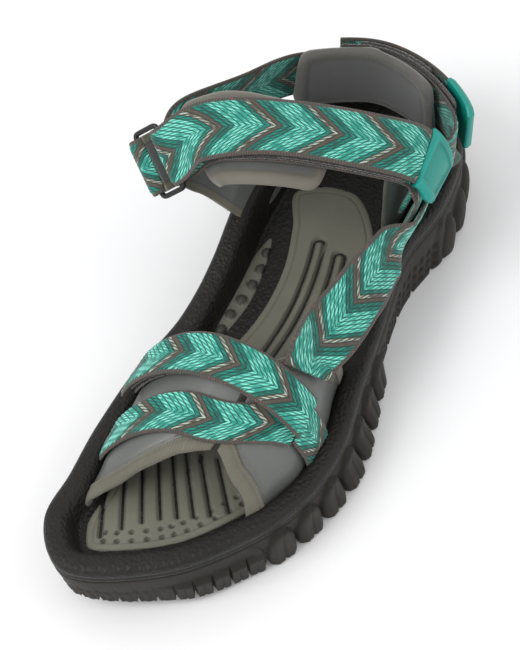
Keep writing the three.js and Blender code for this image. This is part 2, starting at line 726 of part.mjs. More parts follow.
const toeAnchor = run(() => toeRingY, webNarrow, ...toeStack.front, -slotQ, toeRingQ - 8);

// ---------------------------------------------------------------- assembly
const ankleBase = { from: 0, to: 1, low: stack.base[0], high: stack.base[1] };
const heelBase = { from: 0, to: 1, low: 0, high: webThick };
const quarter = { from: 0, to: 1, low: 0, high: panelThick };
const diagonal = { from: 0, to: 1, low: 0, high: webThick };
const flap = { from: 0, to: 1, low: -padThick / 2, high: 0 };

function makeSole() {
  add("outsole", makeOutsole(), finish.rubber);
  let midsole = makeMidsole();
  const cutters = [
    ...[medialPanel, lateralPanel, medialBinding, lateralBinding, lateralRearBinding, frontRun, toeAnchor]
      .map((piece) => onVamp(grown(piece))),
    grownBand(anklePath, { ...ankleBase, to: 0.3 }),
    grownBand(quarterPath, { ...quarter, to: 0.6 }),
    grownBand(flapPath, { ...flap, to: 0.6 }),
  ];
  const inserts = [
    ["footbed_insert", insertPoints, 64],
    ["arch_insert", archPoints, 24],
    ["heel_insert", heelPoints, 40],
  ];
  for (const [name, points, step] of inserts) {
    const proud = name === "footbed_insert" ? 1.2 : 0.6;
    let plate = insertPlate(points, insertThick, proud, step);
    cutters.push(insertPlate(points, insertThick + 2 * gap, 20, step, gap));
    if (name === "arch_insert") {
      const spots = [];
      for (let i = 0; i < 6; i++) {
        spots.push([archEdge + 3 + 1.4 * Math.sin(i), graded(32 - i * 8)]);
        if (i < 4) spots.push([-21 - 0.2 * i, graded(20 - i * 7.5)]);
      }
      plate = plate.add(domes(spots.filter(([, y]) => y > graded(-6)), 1.5, (y) => bedTop(y) + proud));
    }
    if (name === "heel_insert") {
      const spots = [];
      for (let i = -2; i <= 2; i++) {
        for (let j = 0; j < 3; j++) {
          const [x, y] = [i * 8 + (j % 2) * 3, heelInsertFrom + 6 + j * 7.5];
          if (Math.hypot((x - 1) / 19, (y - heelInsertFrom - 5) / 21) < 1) spots.push([x, y]);
        }
      }
      plate = plate.add(domes(spots, 1.8, (y) => bedTop(y) + proud));
    }
    add(name, plate, finish.insert);
  }
  for (const cutter of cutters) midsole = midsole.subtract(cutter);
  const parts = midsole.decompose().sort((a, b) => b.volume() - a.volume());
  add("midsole", parts[0], finish.eva);
}

function makeVamp() {
  add("vamp_medial_panel", onVamp(medialPanel), finish.panel);
  add("vamp_lateral_panel", onVamp(lateralPanel), finish.panel);
  add("vamp_medial_binding", onVamp(medialBinding), finish.binding);
  add("vamp_lateral_front_binding", onVamp(lateralBinding), finish.binding);
  add("vamp_lateral_rear_binding", onVamp(lateralRearBinding), finish.binding);
  add("toe_strap_front_run", onVamp(frontRun), finish.webbing);
  add("toe_strap_loop_tape", onVamp(toeLoop), finish.tape);
  add("toe_strap_hook_tape", onVamp(toeHook), finish.tape);
  add("toe_strap_tail", onVamp(rearRun), finish.webbing);
  add("toe_anchor", onVamp(toeAnchor), finish.webbing);
}

function makeAnkle() {
  add("ankle_strap_base", band(anklePath, ankleBase), finish.webbing);
  add("ankle_strap_turn", turn(anklePath, ankleEnd, 1), finish.webbing);
  add("ankle_ring", ring(ankleBar, 1, webWide + 1.2, ringReach), finish.ring);
  const tail = { from: tipAt, to: 0.985, low: stack.tail[0], high: stack.tail[1] };
  add("ankle_strap_tail", band(anklePath, tail), finish.webbing);
  const tape = { edges: [0, 0] };
  add(
    "ankle_loop_tape",
    band(anklePath, { ...tape, from: 19 / 32, to: 28 / 32, low: stack.loop[0], high: stack.loop[1] }),
    finish.tape,
  );
  add(
    "ankle_hook_tape",
    band(anklePath, { ...tape, from: 19 / 32, to: 25 / 32, low: stack.hook[0], high: stack.hook[1] }),
    finish.tape,
  );
  const tipLow = stack.tail[0] - gap;
  add(
    "ankle_tip",
    band(anklePath, { from: tipAt - 4 / 32, to: tipAt - 0.002, low: tipLow, high: tipLow + tipThick,
      edges: [1.2, 1.2] }),
    finish.tip,
  );
  const pad = { from: 23 / 32, to: 31 / 32, low: -padThick - 0.9, high: -0.9, edges: [6.5, 9], bulge: true };
  add("ankle_pad", band(anklePath, pad), finish.panel);
  add("medial_quarter", band(quarterPath, quarter), finish.panel);
  add("ring_keeper", turn(quarterPath, 1, 1, { narrower: 0.2 }), finish.webbing);
  add("lateral_flap", band(flapPath, flap), finish.panel);
  add("diagonal_strap", band(diagonalPath, diagonal), finish.webbing);
}

function makeHeel() {
  add("heel_strap_base", band(heelPath, heelBase), finish.webbing);
  const pad = { from: 11 / 32, to: 21 / 32, low: -padThick - 1, high: -1, edges: [6, 3.5], bulge: true };
  add("heel_pad", band(heelPath, pad), finish.panel);
  const tape = { edges: [0, 0] };
  add(
    "heel_loop_tape",
    band(heelPath, { ...tape, from: 14 / 32, to: 22 / 32, low: stack.loop[0], high: stack.loop[1] }),
    finish.tape,
  );
  add(
    "heel_hook_tape",
    band(heelPath, { ...tape, from: 15 / 32, to: 19 / 32, low: stack.hook[0], high: stack.hook[1] }),
    finish.tape,
  );
  const tail = { from: 14 / 32, to: 20 / 32, low: stack.tail[0], high: stack.tail[1] };
  add("heel_strap_tail", band(heelPath, tail), finish.webbing);
  const tipLow = stack.tail[0] - gap;
  add(
    "heel_tip",
    band(heelPath, { from: 20 / 32 + 0.004, to: 23 / 32, low: tipLow, high: tipLow + tipThick, edges: [1.2, 1.2] }),
    finish.tip,
  );
}

makeSole();
makeVamp();
makeAnkle();
makeHeel();

// Origin at the middle of the bottom.
const box = new THREE.Box3().setFromObject(sandal);
const middle = box.getCenter(new THREE.Vector3());
for (const mesh of sandal.children) mesh.geometry.translate(-middle.x, -middle.y, -box.min.z);

export default sandal;
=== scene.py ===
# A strappy sport sandal for the left foot: lugged outsole, contoured footbed, webbing straps and pads.
# Shapes are worked out in millimetres on the pattern's own axes (toe towards -Y, lateral side towards +X).
import json

import bpy
import numpy as np
from mathutils import Matrix


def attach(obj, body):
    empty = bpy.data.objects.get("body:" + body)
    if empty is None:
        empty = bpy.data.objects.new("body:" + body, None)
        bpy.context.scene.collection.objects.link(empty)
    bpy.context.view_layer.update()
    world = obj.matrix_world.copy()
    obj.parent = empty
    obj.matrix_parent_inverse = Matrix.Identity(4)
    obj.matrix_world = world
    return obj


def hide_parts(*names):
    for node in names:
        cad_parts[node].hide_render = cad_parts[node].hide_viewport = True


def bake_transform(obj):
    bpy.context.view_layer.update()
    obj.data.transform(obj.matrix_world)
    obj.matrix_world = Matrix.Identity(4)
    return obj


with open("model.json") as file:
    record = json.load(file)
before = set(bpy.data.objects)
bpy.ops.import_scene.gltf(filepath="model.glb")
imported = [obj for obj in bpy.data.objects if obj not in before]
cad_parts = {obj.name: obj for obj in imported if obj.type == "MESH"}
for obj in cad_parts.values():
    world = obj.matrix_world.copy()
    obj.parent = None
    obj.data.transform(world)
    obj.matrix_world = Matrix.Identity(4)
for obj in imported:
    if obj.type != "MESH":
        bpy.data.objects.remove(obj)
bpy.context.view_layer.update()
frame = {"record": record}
mount = np.array(frame["record"]["mounts"][0]["pos_m"])
patternShift = mount * 1000 - np.array([0, 45, 0])  # pattern millimetres to the row frame

pattern = {  # the sandal's driving sizes, as the frame was built
    "toeY": -137.0, "soleLength": 268.0, "ballMedial": 44.8, "ballLateral": 48.7,
    "waistMedial": 36.5, "waistLateral": 38.5, "heelMedial": 38.5, "heelLateral": 41.0, "strapInset": 10.0,
    "webWide": 25.0, "webNarrow": 17.0, "webThick": 1.8, "panelThick": 1.8,
    "instepCrest": 92.5, "toeCrest": 51.0, "heelStrapHeight": 60.0, "gap": 0.3,
    "lipDrop": 8.0, "cupFloor": 8.0, "slotDepth": 7.0,
}
toeY = pattern["toeY"]
heelY = toeY + pattern["soleLength"]
slotDeep = pattern["slotDepth"]  # how deep the straps go into the foam
webThick = pattern["webThick"]
gap = pattern["gap"]


def srgb(r, g, b):  # display colour 0-255 to linear
    c = np.array([r, g, b]) / 255
    return np.where(c <= 0.04045, c / 12.92, ((c + 0.055) / 1.055) ** 2.4)


colours = {
    "teal": srgb(0, 138, 121), "mint": srgb(134, 228, 208), "darkTeal": srgb(0, 84, 74),
    "brown": srgb(74, 68, 56), "paleGrey": srgb(176, 190, 176), "selvedge": srgb(84, 80, 74),
    "rubber": srgb(40, 37, 31), "foam": srgb(24, 22, 20), "insert": srgb(108, 107, 95),
    "panel": srgb(97, 99, 97), "binding": srgb(110, 107, 95),
    "tape": srgb(66, 62, 58), "fleck": srgb(150, 70, 60), "tip": srgb(14, 140, 128),
    "ring": srgb(28, 28, 28),
}

# ---- numpy helpers


def profile(pairs):  # smooth steps between value pairs [y, value], flat beyond the ends
    ys, vs = np.array(pairs, float).T

    def at(y):
        y = np.asarray(y, float)
        i = np.clip(np.searchsorted(ys, y) - 1, 0, len(ys) - 2)
        t = np.clip((y - ys[i]) / (ys[i + 1] - ys[i]), 0, 1)
        return vs[i] + (vs[i + 1] - vs[i]) * t * t * (3 - 2 * t)
    return at


def smoothStep(a, b, x):
    t = np.clip((x - a) / (b - a), 0, 1)
    return t * t * (3 - 2 * t)


def centripetal(points, t, closed=False):
    # Catmull-Rom through the points with knots spaced by the square root of their distance
    p = np.asarray(points, float)
    n = len(p)
    if closed:
        ext = np.vstack([p[-1:], p, p[:2]])
        pos = np.asarray(t, float) % 1 * n
        i = np.clip(pos.astype(int), 0, n - 1)
    else:
        ext = np.vstack([2 * p[:1] - p[1:2], p, 2 * p[-1:] - p[-2:-1]])
        pos = np.clip(np.asarray(t, float), 0, 1) * (n - 1)
        i = np.clip(pos.astype(int), 0, n - 2)
    f = (pos - i)[..., None]
    a, b, c, d = ext[i], ext[i + 1], ext[i + 2], ext[i + 3]
    knot = lambda q, r: np.maximum(((q - r) ** 2).sum(-1, keepdims=True) ** 0.25, 1e-4)
    k0, k1, k2 = knot(a, b), knot(b, c), knot(c, d)
    t1 = ((b - a) / k0 - (c - a) / (k0 + k1) + (c - b) / k1) * k1
    t2 = ((c - b) / k1 - (d - b) / (k1 + k2) + (d - c) / k2) * k1
    return b + t1 * f + (3 * (c - b) - 2 * t1 - t2) * f ** 2 + (2 * (b - c) + t1 + t2) * f ** 3


def unit(v):
    return v / np.maximum(np.linalg.norm(v, axis=-1, keepdims=True), 1e-9)


def hashNoise(i, j, seed=0):  # repeatable random value 0-1 for each pair of whole numbers
    v = np.sin(i * 127.1 + j * 311.7 + seed * 74.7) * 43758.5453
    return v - np.floor(v)


def toRow(points):  # pattern millimetres to row metres
    return (np.asarray(points, float) + patternShift) / 1000


# ---- meshes and materials


def gridFaces(rows, cols, wrap=False, flip=False):
    i, j = np.meshgrid(np.arange(rows - 1), np.arange(cols if wrap else cols - 1), indexing="ij")
    k = (j + 1) % cols
    quads = np.stack([i * cols + j, i * cols + k, (i + 1) * cols + k, (i + 1) * cols + j], -1).reshape(-1,
        4)
    return quads[:, ::-1] if flip else quads


def makeMesh(name, verts, faces, material, uv=None, tint=None, extra=None):
    # verts in pattern millimetres; uv and tint are one value per vertex
    mesh = bpy.data.meshes.new(name)
    verts = toRow(verts)
    faces = np.asarray(faces)
    polys = faces.tolist() + (extra or [])
    mesh.vertices.add(len(verts))
    mesh.vertices.foreach_set("co", verts.astype(np.float32).ravel())
    sizes = np.array([len(f) for f in polys], np.int32)
    loops = np.concatenate([np.asarray(f, np.int32) for f in polys])
    mesh.loops.add(len(loops))
    mesh.loops.foreach_set("vertex_index", loops)
    mesh.polygons.add(len(sizes))
    mesh.polygons.foreach_set("loop_start", np.concatenate([[0], np.cumsum(sizes)[:-1]]).astype(np.int32))
    mesh.update(calc_edges=True)
    mesh.validate()
    if uv is not None:
        layer = mesh.uv_layers.new(name="UVMap")
        index = np.empty(len(mesh.loops), np.int32)
        mesh.loops.foreach_get("vertex_index", index)
        layer.data.foreach_set("uv", np.asarray(uv, np.float32)[index].ravel())
    if tint is not None:
        attribute = mesh.color_attributes.new("tint", "FLOAT_COLOR", "POINT")
        rgba = np.ones((len(verts), 4), np.float32)
        rgba[:, :3] = tint
        attribute.data.foreach_set("color", rgba.ravel())
    mesh.shade_smooth()
    mesh.materials.append(material)
    obj = bpy.data.objects.new(name, mesh)
    bpy.context.scene.collection.objects.link(obj)
    return obj


def closedSheet(name, outer, inner, material, uv=None, tint=None):
    # outer and inner are grids (rows, cols, 3) of the two faces; the four edges are closed between them.
    # The outer face looks along row direction x column direction.
    r, c = outer.shape[:2]
    verts = np.concatenate([outer.reshape(-1, 3), inner.reshape(-1, 3)])
    n = r * c
    index = np.arange(n).reshape(r, c)
    edge = np.concatenate([index[0, :], index[1:, -1], index[-1, -2::-1], index[-2:0:-1, 0]])
    after = np.roll(edge, -1)
    walls = np.stack([after, edge, edge + n, after + n], -1)
    faces = np.concatenate([gridFaces(r, c, flip=True), gridFaces(r, c) + n, walls[:, ::-1]])
    double = lambda a: None if a is None else np.concatenate([a.reshape(n, -1)] * 2)
    return makeMesh(name, verts, faces, material, uv=double(uv), tint=double(tint))


def nodes(name, colour, roughness, **principled):
    # a principled material whose colour comes from the piece's own tint where colour is None
    material = bpy.data.materials.new(name)
    material.use_nodes = True
    tree = material.node_tree
    shader = tree.nodes["Principled BSDF"]
    shader.inputs["Roughness"].default_value = roughness
    for socket, value in principled.items():
        shader.inputs[socket.replace("_", " ")].default_value = value
    add = lambda kind, **props: newNode(tree, kind, props)
    coords = add("ShaderNodeTexCoord")
    if colour is None:
        source = add("ShaderNodeAttribute", attribute_name="tint").outputs["Color"]
    else:
        source = add("ShaderNodeRGB").outputs[0]
        source.default_value = (*colour, 1)
    return material, tree, shader, add, coords, source


def newNode(tree, kind, props):
    node = tree.nodes.new(kind)
    for key, value in props.items():
        if hasattr(node, key):
            setattr(node, key, value)
        else:
            node.inputs[key.replace("_", " ")].default_value = value
    return node


def grained(name, colour, roughness, grainScale, grainDepth, patch=0.12, fine=None, **principled):
    # colour with soft blotches, and a bump of rounded cells and fine noise
    material, tree, shader, add, coords, source = nodes(name, colour, roughness, **principled)
    link = tree.links.new
    blotch = add("ShaderNodeTexNoise", Scale=60.0, Detail=4.0)
    link(coords.outputs["Object"], blotch.inputs["Vector"])
    shade = add("ShaderNodeMapRange", From_Min=0.3, From_Max=0.7, To_Min=1 - patch, To_Max=1 + patch)
    link(blotch.outputs["Fac"], shade.inputs["Value"])
    tone = add("ShaderNodeVectorMath", operation="SCALE")
    link(source, tone.inputs[0])
    link(shade.outputs["Result"], tone.inputs["Scale"])
    link(tone.outputs["Vector"], shader.inputs["Base Color"])
    cells = add("ShaderNodeTexVoronoi", feature="F1", Scale=grainScale)
    dust = add("ShaderNodeTexNoise", Scale=fine or grainScale * 2.2, Detail=3.0)
    for texture in (cells, dust):
        link(coords.outputs["Object"], texture.inputs["Vector"])
    height = add("ShaderNodeMath", operation="MULTIPLY_ADD")
    height.inputs[1].default_value = 0.5
    link(dust.outputs["Fac"], height.inputs[0])
    link(cells.outputs["Distance"], height.inputs[2])
    bump = add("ShaderNodeBump", Strength=1.0, Distance=grainDepth)
    link(height.outputs[0], bump.inputs["Height"])
    link(bump.outputs["Normal"], shader.inputs["Normal"])
    return material


def maths(tree):  # short way to write a sum of sockets and numbers as math nodes
    def op(kind, *values):
        node = tree.nodes.new("ShaderNodeMath")
        node.operation = kind
        for socket, value in zip(node.inputs, values):
            if isinstance(value, (int, float)):
                socket.default_value = value
            else:
                tree.links.new(value, socket)
        return node.outputs[0]
    return op


# each cord has a ground colour and a lighter mark on its strands: partly the yarn's own two-tone twist,
# partly a painted highlight on each strand
cords = {  # twisted cords of the webbing: distance between them, slant and the colours of one chevron
    "pitch": 2.5, "slant": 1.25, "twist": 3.3, "relief": 0.42,
    "ground": ["teal", "teal", "teal", "darkTeal", "brown", "brown", "darkTeal", "darkTeal", "teal",
               "teal"],
    "mark": ["mint", "mint", "mint", "teal", "paleGrey", "selvedge", "teal", "teal", "mint", "mint"],
}


def woven(name):
    # chevrons of twisted cords over the piece's own UVs, which are millimetres / 100 along and across;
    # the red of the tint is the share of the way from the middle to the edge, where the selvedge is
    material, tree, shader, add, coords, source = nodes(name, None, 0.7, Sheen_Weight=0.2,
                                                        Sheen_Roughness=0.5)
    link, op = tree.links.new, maths(tree)
    place = add("ShaderNodeSeparateXYZ")
    link(coords.outputs["UV"], place.inputs[0])
    u, v = op("MULTIPLY", place.outputs[0], 100.0), op("ABSOLUTE", op("MULTIPLY", place.outputs[1], 100.0))
    row = op("DIVIDE", op("MULTIPLY_ADD", v, cords["slant"], u), cords["pitch"])
    index, across = op("FLOOR", row), op("SUBTRACT", op("FRACT", row), 0.5)
    count = len(cords["ground"])
    share = op("FRACT", op("DIVIDE", op("ADD", index, 0.5), float(count)))
    phase = op("FRACT", op("ADD", op("MULTIPLY_ADD", across, 0.9,
                                     op("DIVIDE", op("MULTIPLY", v, 1.6), cords["twist"])),
                           op("MULTIPLY", index, 0.73)))
    mark = op("MULTIPLY", op("SUBTRACT", 0.36, op("ABSOLUTE", op("SUBTRACT", phase, 0.5))), 6.0)
    narrow = op("MULTIPLY", op("SUBTRACT", 0.44, op("ABSOLUTE", across)), 8.0)
    mark = op("MINIMUM", op("MAXIMUM", op("MINIMUM", mark, narrow), 0.0), 1.0)
    patch = add("ShaderNodeTexNoise", Scale=240.0, Detail=2.0)
    link(coords.outputs["Object"], patch.inputs["Vector"])
    mark = op("MULTIPLY", mark, op("MINIMUM",
                                   op("MAXIMUM", op("MULTIPLY_ADD", patch.outputs["Fac"], 5.0, -1.75), 0.1),
                                   1.0))
    ramps = []
    for key in ("ground", "mark"):
        ramp = add("ShaderNodeValToRGB")
        ramp.color_ramp.interpolation = "CONSTANT"
        while len(ramp.color_ramp.elements) < count:
            ramp.color_ramp.elements.new(0.999)
        for i, element in enumerate(ramp.color_ramp.elements):
            element.position = i / count
            element.color = (*colours[cords[key][i]], 1)
        link(share, ramp.inputs[0])
        ramps.append(ramp.outputs[0])

    def blendColours(amount, a, b):
        mixer = add("ShaderNodeMix", data_type="RGBA")
        for socket, value in zip((mixer.inputs[0], mixer.inputs[6], mixer.inputs[7]), (amount, a, b)):
            if hasattr(value, "links"):
                link(value, socket)
            else:
                socket.default_value = (*value, 1)
        return mixer.outputs[2]
    # lighter mark over the ground: partly the strands' own yarn colour, partly a painted highlight on each
    # strand
    tone = blendColours(mark, *ramps)
    gapShade = op("MINIMUM", op("MAXIMUM",
                                op("MULTIPLY", op("SUBTRACT", op("ABSOLUTE", across), 0.36), 7.0), 0.0),
                                0.9)
    tone = blendColours(gapShade, tone, colours["brown"] * 0.3)
    # ribbed selvedge with a few red and teal flecks, its ribs painted darker in the troughs and lighter on
    # the crests (painted shade and painted highlight)
    edge = op("MINIMUM", op("MAXIMUM", op("MULTIPLY", op("SUBTRACT", sourceRed(tree, source), 0.85), 22.0),
                            0.0), 1.0)
    rib = op("ABSOLUTE", op("SUBTRACT", op("FRACT", op("DIVIDE", u, 1.15)), 0.5))
    fleck = add("ShaderNodeTexNoise", Scale=900.0, Detail=0.0)
    link(coords.outputs["Object"], fleck.inputs["Vector"])
    red = op("MINIMUM", op("MAXIMUM", op("MULTIPLY", op("SUBTRACT", fleck.outputs["Fac"], 0.7), 12.0), 0.0),
             0.5)
    # painted shade in the rib troughs and painted highlight on the rib crests
    sides = blendColours(op("MULTIPLY", rib, 1.5), colours["selvedge"] * 0.55, colours["selvedge"] * 1.1)
    sides = blendColours(red, sides, colours["fleck"])
    tone = blendColours(edge, tone, sides)
    link(tone, shader.inputs["Base Color"])
    rounded = op("SUBTRACT", 1.0, op("MULTIPLY", op("MULTIPLY", across, across), 4.0))
    height = op("MULTIPLY", rounded, op("MULTIPLY_ADD", mark, 0.35, 0.65))
    mixed = add("ShaderNodeMix")
    link(edge, mixed.inputs[0])
    link(height, mixed.inputs[2])
    link(op("MULTIPLY", rib, 1.6), mixed.inputs[3])
    bump = add("ShaderNodeBump", Strength=0.8, Distance=0.0005)
    link(mixed.outputs[0], bump.inputs["Height"])
    link(bump.outputs["Normal"], shader.inputs["Normal"])
    return material


def sourceRed(tree, source):
    split = tree.nodes.new("ShaderNodeSeparateColor")
    tree.links.new(source, split.inputs[0])
    return split.outputs[0]


materials = {
    "rubber": grained("oliveRubber", None, 0.62, 900, 0.00008, patch=0.12, Specular_IOR_Level=0.3),
    "foam": grained("grainedFoam", None, 0.5, 620, 0.0004, patch=0.2, fine=1500, Specular_IOR_Level=0.35),
    "insert": grained("greyFoam", None, 0.62, 1100, 0.00005, patch=0.07),
    "panel": grained("smoothPanel", None, 0.42, 1300, 0.00003, patch=0.06, Coat_Weight=0.08),
    "binding": grained("ribbedBinding", None, 0.82, 2200, 0.0001, patch=0.1, Sheen_Weight=0.3),
    "lining": grained("padLining", None, 0.74, 2400, 0.00008, patch=0.08, Sheen_Weight=0.3),
    "tape": grained("hookAndLoop", None, 0.95, 1500, 0.0006, patch=0.3, Sheen_Weight=0.5),
    "tip": grained("mouldedTip", None, 0.4, 1500, 0.00002, patch=0.05),
    "ring": grained("blackRing", None, 0.35, 1200, 0.00002, patch=0.05),
    "webbing": woven("chevronWebbing"),
}
print("materials ready")

# ---- sole outline, heights and paths, as the pattern has them
ballLat, ballMed, waist = pattern["ballLateral"], pattern["ballMedial"], pattern["waistLateral"]
waistIn = pattern["waistMedial"]
heelMed, heelLat = pattern["heelMedial"], pattern["heelLateral"]
alongSole = lambda share: toeY + share * pattern["soleLength"]
outlinePoints = [
    [-24.7, toeY], [11, alongSole(0.056)], [31, alongSole(0.138)], [ballLat - 4.5, alongSole(0.231)],
    [ballLat, alongSole(0.343)], [ballLat + (waist - ballLat) * 0.45, alongSole(0.455)],
    [waist + 1.3, alongSole(0.567)], [waist - 2, alongSole(0.679)], [heelLat, alongSole(0.791)],
    [heelLat - 3.5, alongSole(0.896)], [24, alongSole(0.972)], [1, heelY], [-20, alongSole(0.972)],
    [-heelMed + 6, alongSole(0.896)], [-heelMed, alongSole(0.791)], [-heelMed - 0.5, alongSole(0.679)],
    [-waistIn, alongSole(0.567)], [-waistIn - 0.5, alongSole(0.455)], [-ballMed + 1.3, alongSole(0.343)],
    [-ballMed, alongSole(0.231)], [-ballMed + 2.5, alongSole(0.138)], [-ballMed + 4.5, alongSole(0.056)],
]


def rimAt(share):  # place and outward direction on the sole outline, by distance round it
    fine = np.linspace(0, 1, 4001)
    p = centripetal(outlinePoints, fine, closed=True)
    length = np.concatenate([[0], np.cumsum(np.linalg.norm(np.diff(p, axis=0), axis=1))])
    t = np.interp(np.asarray(share) % 1 * length[-1], length, fine)
    at = centripetal(outlinePoints, t, closed=True)
    d = unit(centripetal(outlinePoints, t + 1e-4, closed=True) - centripetal(outlinePoints, t - 1e-4,
        closed=True))
    return at, np.stack([d[..., 1], -d[..., 0]], -1)


coarseRim = rimAt(np.arange(88) / 88)[0]


def sideX(y, side):  # x of the rim on one side, from the places within 4 mm of y
    near = coarseRim[np.abs(coarseRim[:, 1] - y) < 4][:, 0]
    return side * max(20, (near * side).max())


lateralX = lambda y: sideX(y, 1)
medialX = lambda y: sideX(y, -1)
rimTop = profile([[toeY, 37], [-60, 29.5], [0, 31], [60, 40], [heelY, 44]])
bedTop = profile([[toeY, 27], [-60, 20.5], [0, 23], [60, 26], [heelY, 28]])
middleLine = profile([[toeY + 30, -12], [-45, 2], [20, 0], [heelY - 32, 1]])
ground = lambda y: 10 * np.clip((-85 - y) / (-85 - toeY), 0, 1) ** 2
topOf = lambda x, y: rimTop(y) + np.where(x < 0,
                                          5 * np.exp(-(((y - 25) / 38) ** 2)) * smoothStep(0, 12, -x), 0)

inset = pattern["strapInset"]
vampPlaces = [-110, -95, -80, -60, -40, -20, 0]
vampLateral = profile([[y, lateralX(y) - inset] for y in vampPlaces])
vampMedial = profile([[y, medialX(y) + inset] for y in vampPlaces])
slotSlope = 0.4


def vamp(y, q, h):
    # forefoot arch: a flattened half circle (power 2/2.3) over the foot line, straight down past 0 and 180
    y, q, h = np.broadcast_arrays(np.asarray(y, float), np.asarray(q, float), np.asarray(h, float))
    half, centre = (vampLateral(y) - vampMedial(y)) / 2, (vampLateral(y) + vampMedial(y)) / 2
    foot = bedTop(y) + 2
    rise = pattern["toeCrest"] + 0.4 * (y + 62) - foot
    a = np.radians(np.clip(q, 0, 180))
    c = np.cos(a)
    x = centre + (half + h) * np.sign(c) * np.abs(c) ** (2 / 2.3)
    below = np.minimum(0, np.minimum(q, 180 - q)) * slotSlope
    return np.stack([x, y, foot + (rise + h) * np.abs(np.sin(a)) ** (2 / 2.3) + below], -1)


def strapPath(stations, wide):
    # a strap through stations [x, y, z, across x, y, z, width]: side -1 to 1 across it, height above its
    # inner face
    rest = np.array([list(s) + ([wide] if len(s) == 6 else []) for s in stations], float)
    points, blended = rest[:, :3], rest[:, 3:]
    n = len(points) - 1

    def frameAt(t):
        t = np.clip(np.asarray(t, float), 0, 1)
        p = centripetal(points, t)
        d = unit(centripetal(points, t + 1e-4) - centripetal(points, t - 1e-4))
        i = np.minimum(n - 1, (t * n).astype(int))
        f = (t * n - i)[..., None]
        b = blended[i] + (blended[i + 1] - blended[i]) * f * f * (3 - 2 * f)
        w = b[..., :3] - d * (b[..., :3] * d).sum(-1, keepdims=True)
        w = unit(w)
        return p, d, w, unit(np.cross(d, w)), b[..., 3] / 2

    def at(t, side, height, edges=(0, 0)):
        t, side, height = np.broadcast_arrays(*(np.asarray(a, float) for a in (t, side, height)))
        p, d, w, nrm, half = frameAt(t)
        shift = np.where(side < 0, side * edges[0], side * edges[1])
        return p + w * (side * half + shift)[..., None] + nrm * height[..., None]
    at.frameAt = frameAt
    return at


web, thick = pattern["webWide"], webThick
ankleY = 62
anchorX = lateralX(ankleY) - inset + 1
ankleBed = float(bedTop(ankleY))
crest = pattern["instepCrest"]
junctionZ = float(rimTop(ankleY)) + web * 0.42 + 1.2
anklePath = strapPath([
    [anchorX, ankleY, ankleBed - slotDeep, 0, -1, 0], [anchorX + 0.5, ankleY, ankleBed + 6, 0, -1, 0],
    [anchorX + 3, ankleY, junctionZ - 7, 0, -1, 0],
    [anchorX + 7.5, ankleY + 1, junctionZ + 6, 0.05, -0.98, -0.1],
    [anchorX + 9, ankleY + 2, junctionZ + 15, 0.1, -0.96, -0.2],
    [anchorX + 5, ankleY + 3, crest - 16.5, 0.19, -0.94, -0.3],
    [20, ankleY - 5, crest - 6.5, 0.3, -0.91, -0.25],
    [-12, ankleY - 16, crest, 0.36, -0.9, -0.2], [-42, ankleY - 23, crest - 4, 0.41, -0.78, -0.42],
    [-58, ankleY - 30, crest - 16, 0.46, -0.55, -0.7],
], web)
barHeight, turnRadius, ringReach = (thick + 6.3) / 2, (6.3 - thick) / 2, 12


def barOf(path):  # middle of the bar inside the turn at the end of a path, with its directions
    p, d, w, nrm, half = path.frameAt(1.0)
    return p + nrm * barHeight + d * gap, d, w, nrm


ankleBar = barOf(anklePath)
lowerBar = ankleBar[0] + ankleBar[1] * ringReach
quarterX, quarterBed = medialX(55) + inset, float(bedTop(55))
belly = np.array([quarterX - 24, 43, quarterBed + 34])
quarterAcross = -ankleBar[2]
quarterUp = lowerBar - belly
quarterUp = unit(quarterUp - quarterAcross * (quarterUp @ quarterAcross))
quarterTop = lowerBar - np.cross(quarterUp, quarterAcross) * barHeight - quarterUp * gap
quarterPath = strapPath([
    [quarterX, 55, quarterBed - slotDeep, 0, 1, 0, 40], [quarterX - 1, 54, quarterBed + 8, 0, 1, 0, 40],
    [quarterX - 10, 50, quarterBed + 22, -0.1, 0.98, 0.15, 32.8], [*belly, -0.25, 0.8, 0.4, 26],
    [*(quarterTop - quarterUp * 9), *quarterAcross, 25], [*quarterTop, *quarterAcross, 25],
], 40)
seamAt = 0.66  # where the heel strap is sewn to the quarter
seamLift = pattern["panelThick"] + gap + 1.6  # its height there
heelFirst = -quarterPath.frameAt(seamAt)[1]
junctionAt = 0.28
junctionDown = -anklePath.frameAt(junctionAt)[1]
backY = heelY - 15
span = backY - ankleY
backZ = pattern["heelStrapHeight"]
heelPath = strapPath([
    [*quarterPath(seamAt, 0.1, seamLift), *heelFirst], [*quarterPath(seamAt, 1.2, seamLift), *heelFirst],
    [-48, backY - 0.67 * span, backZ + 8, 0, 0.1, -1], [-34, backY - 0.28 * span, backZ + 3, 0, 0, -1],
    [-5, backY, backZ, 0, 0, -1], [26, backY - 0.19 * span, backZ + 2, 0, 0, -1],
    [40, backY - 0.48 * span, backZ + 1, -0.1, 0, -1],
    [*anklePath(junctionAt, -1.35, -4.2), *junctionDown, 21],
    [*anklePath(junctionAt, 0.1, -4.0), *junctionDown, 21],
], web)
toeRingY = -49


def onShoulder(y):
    return [*vamp(y, 43, 3.4), *unit(vamp(y, 32, 3.2) - vamp(y, 54, 3.2))]


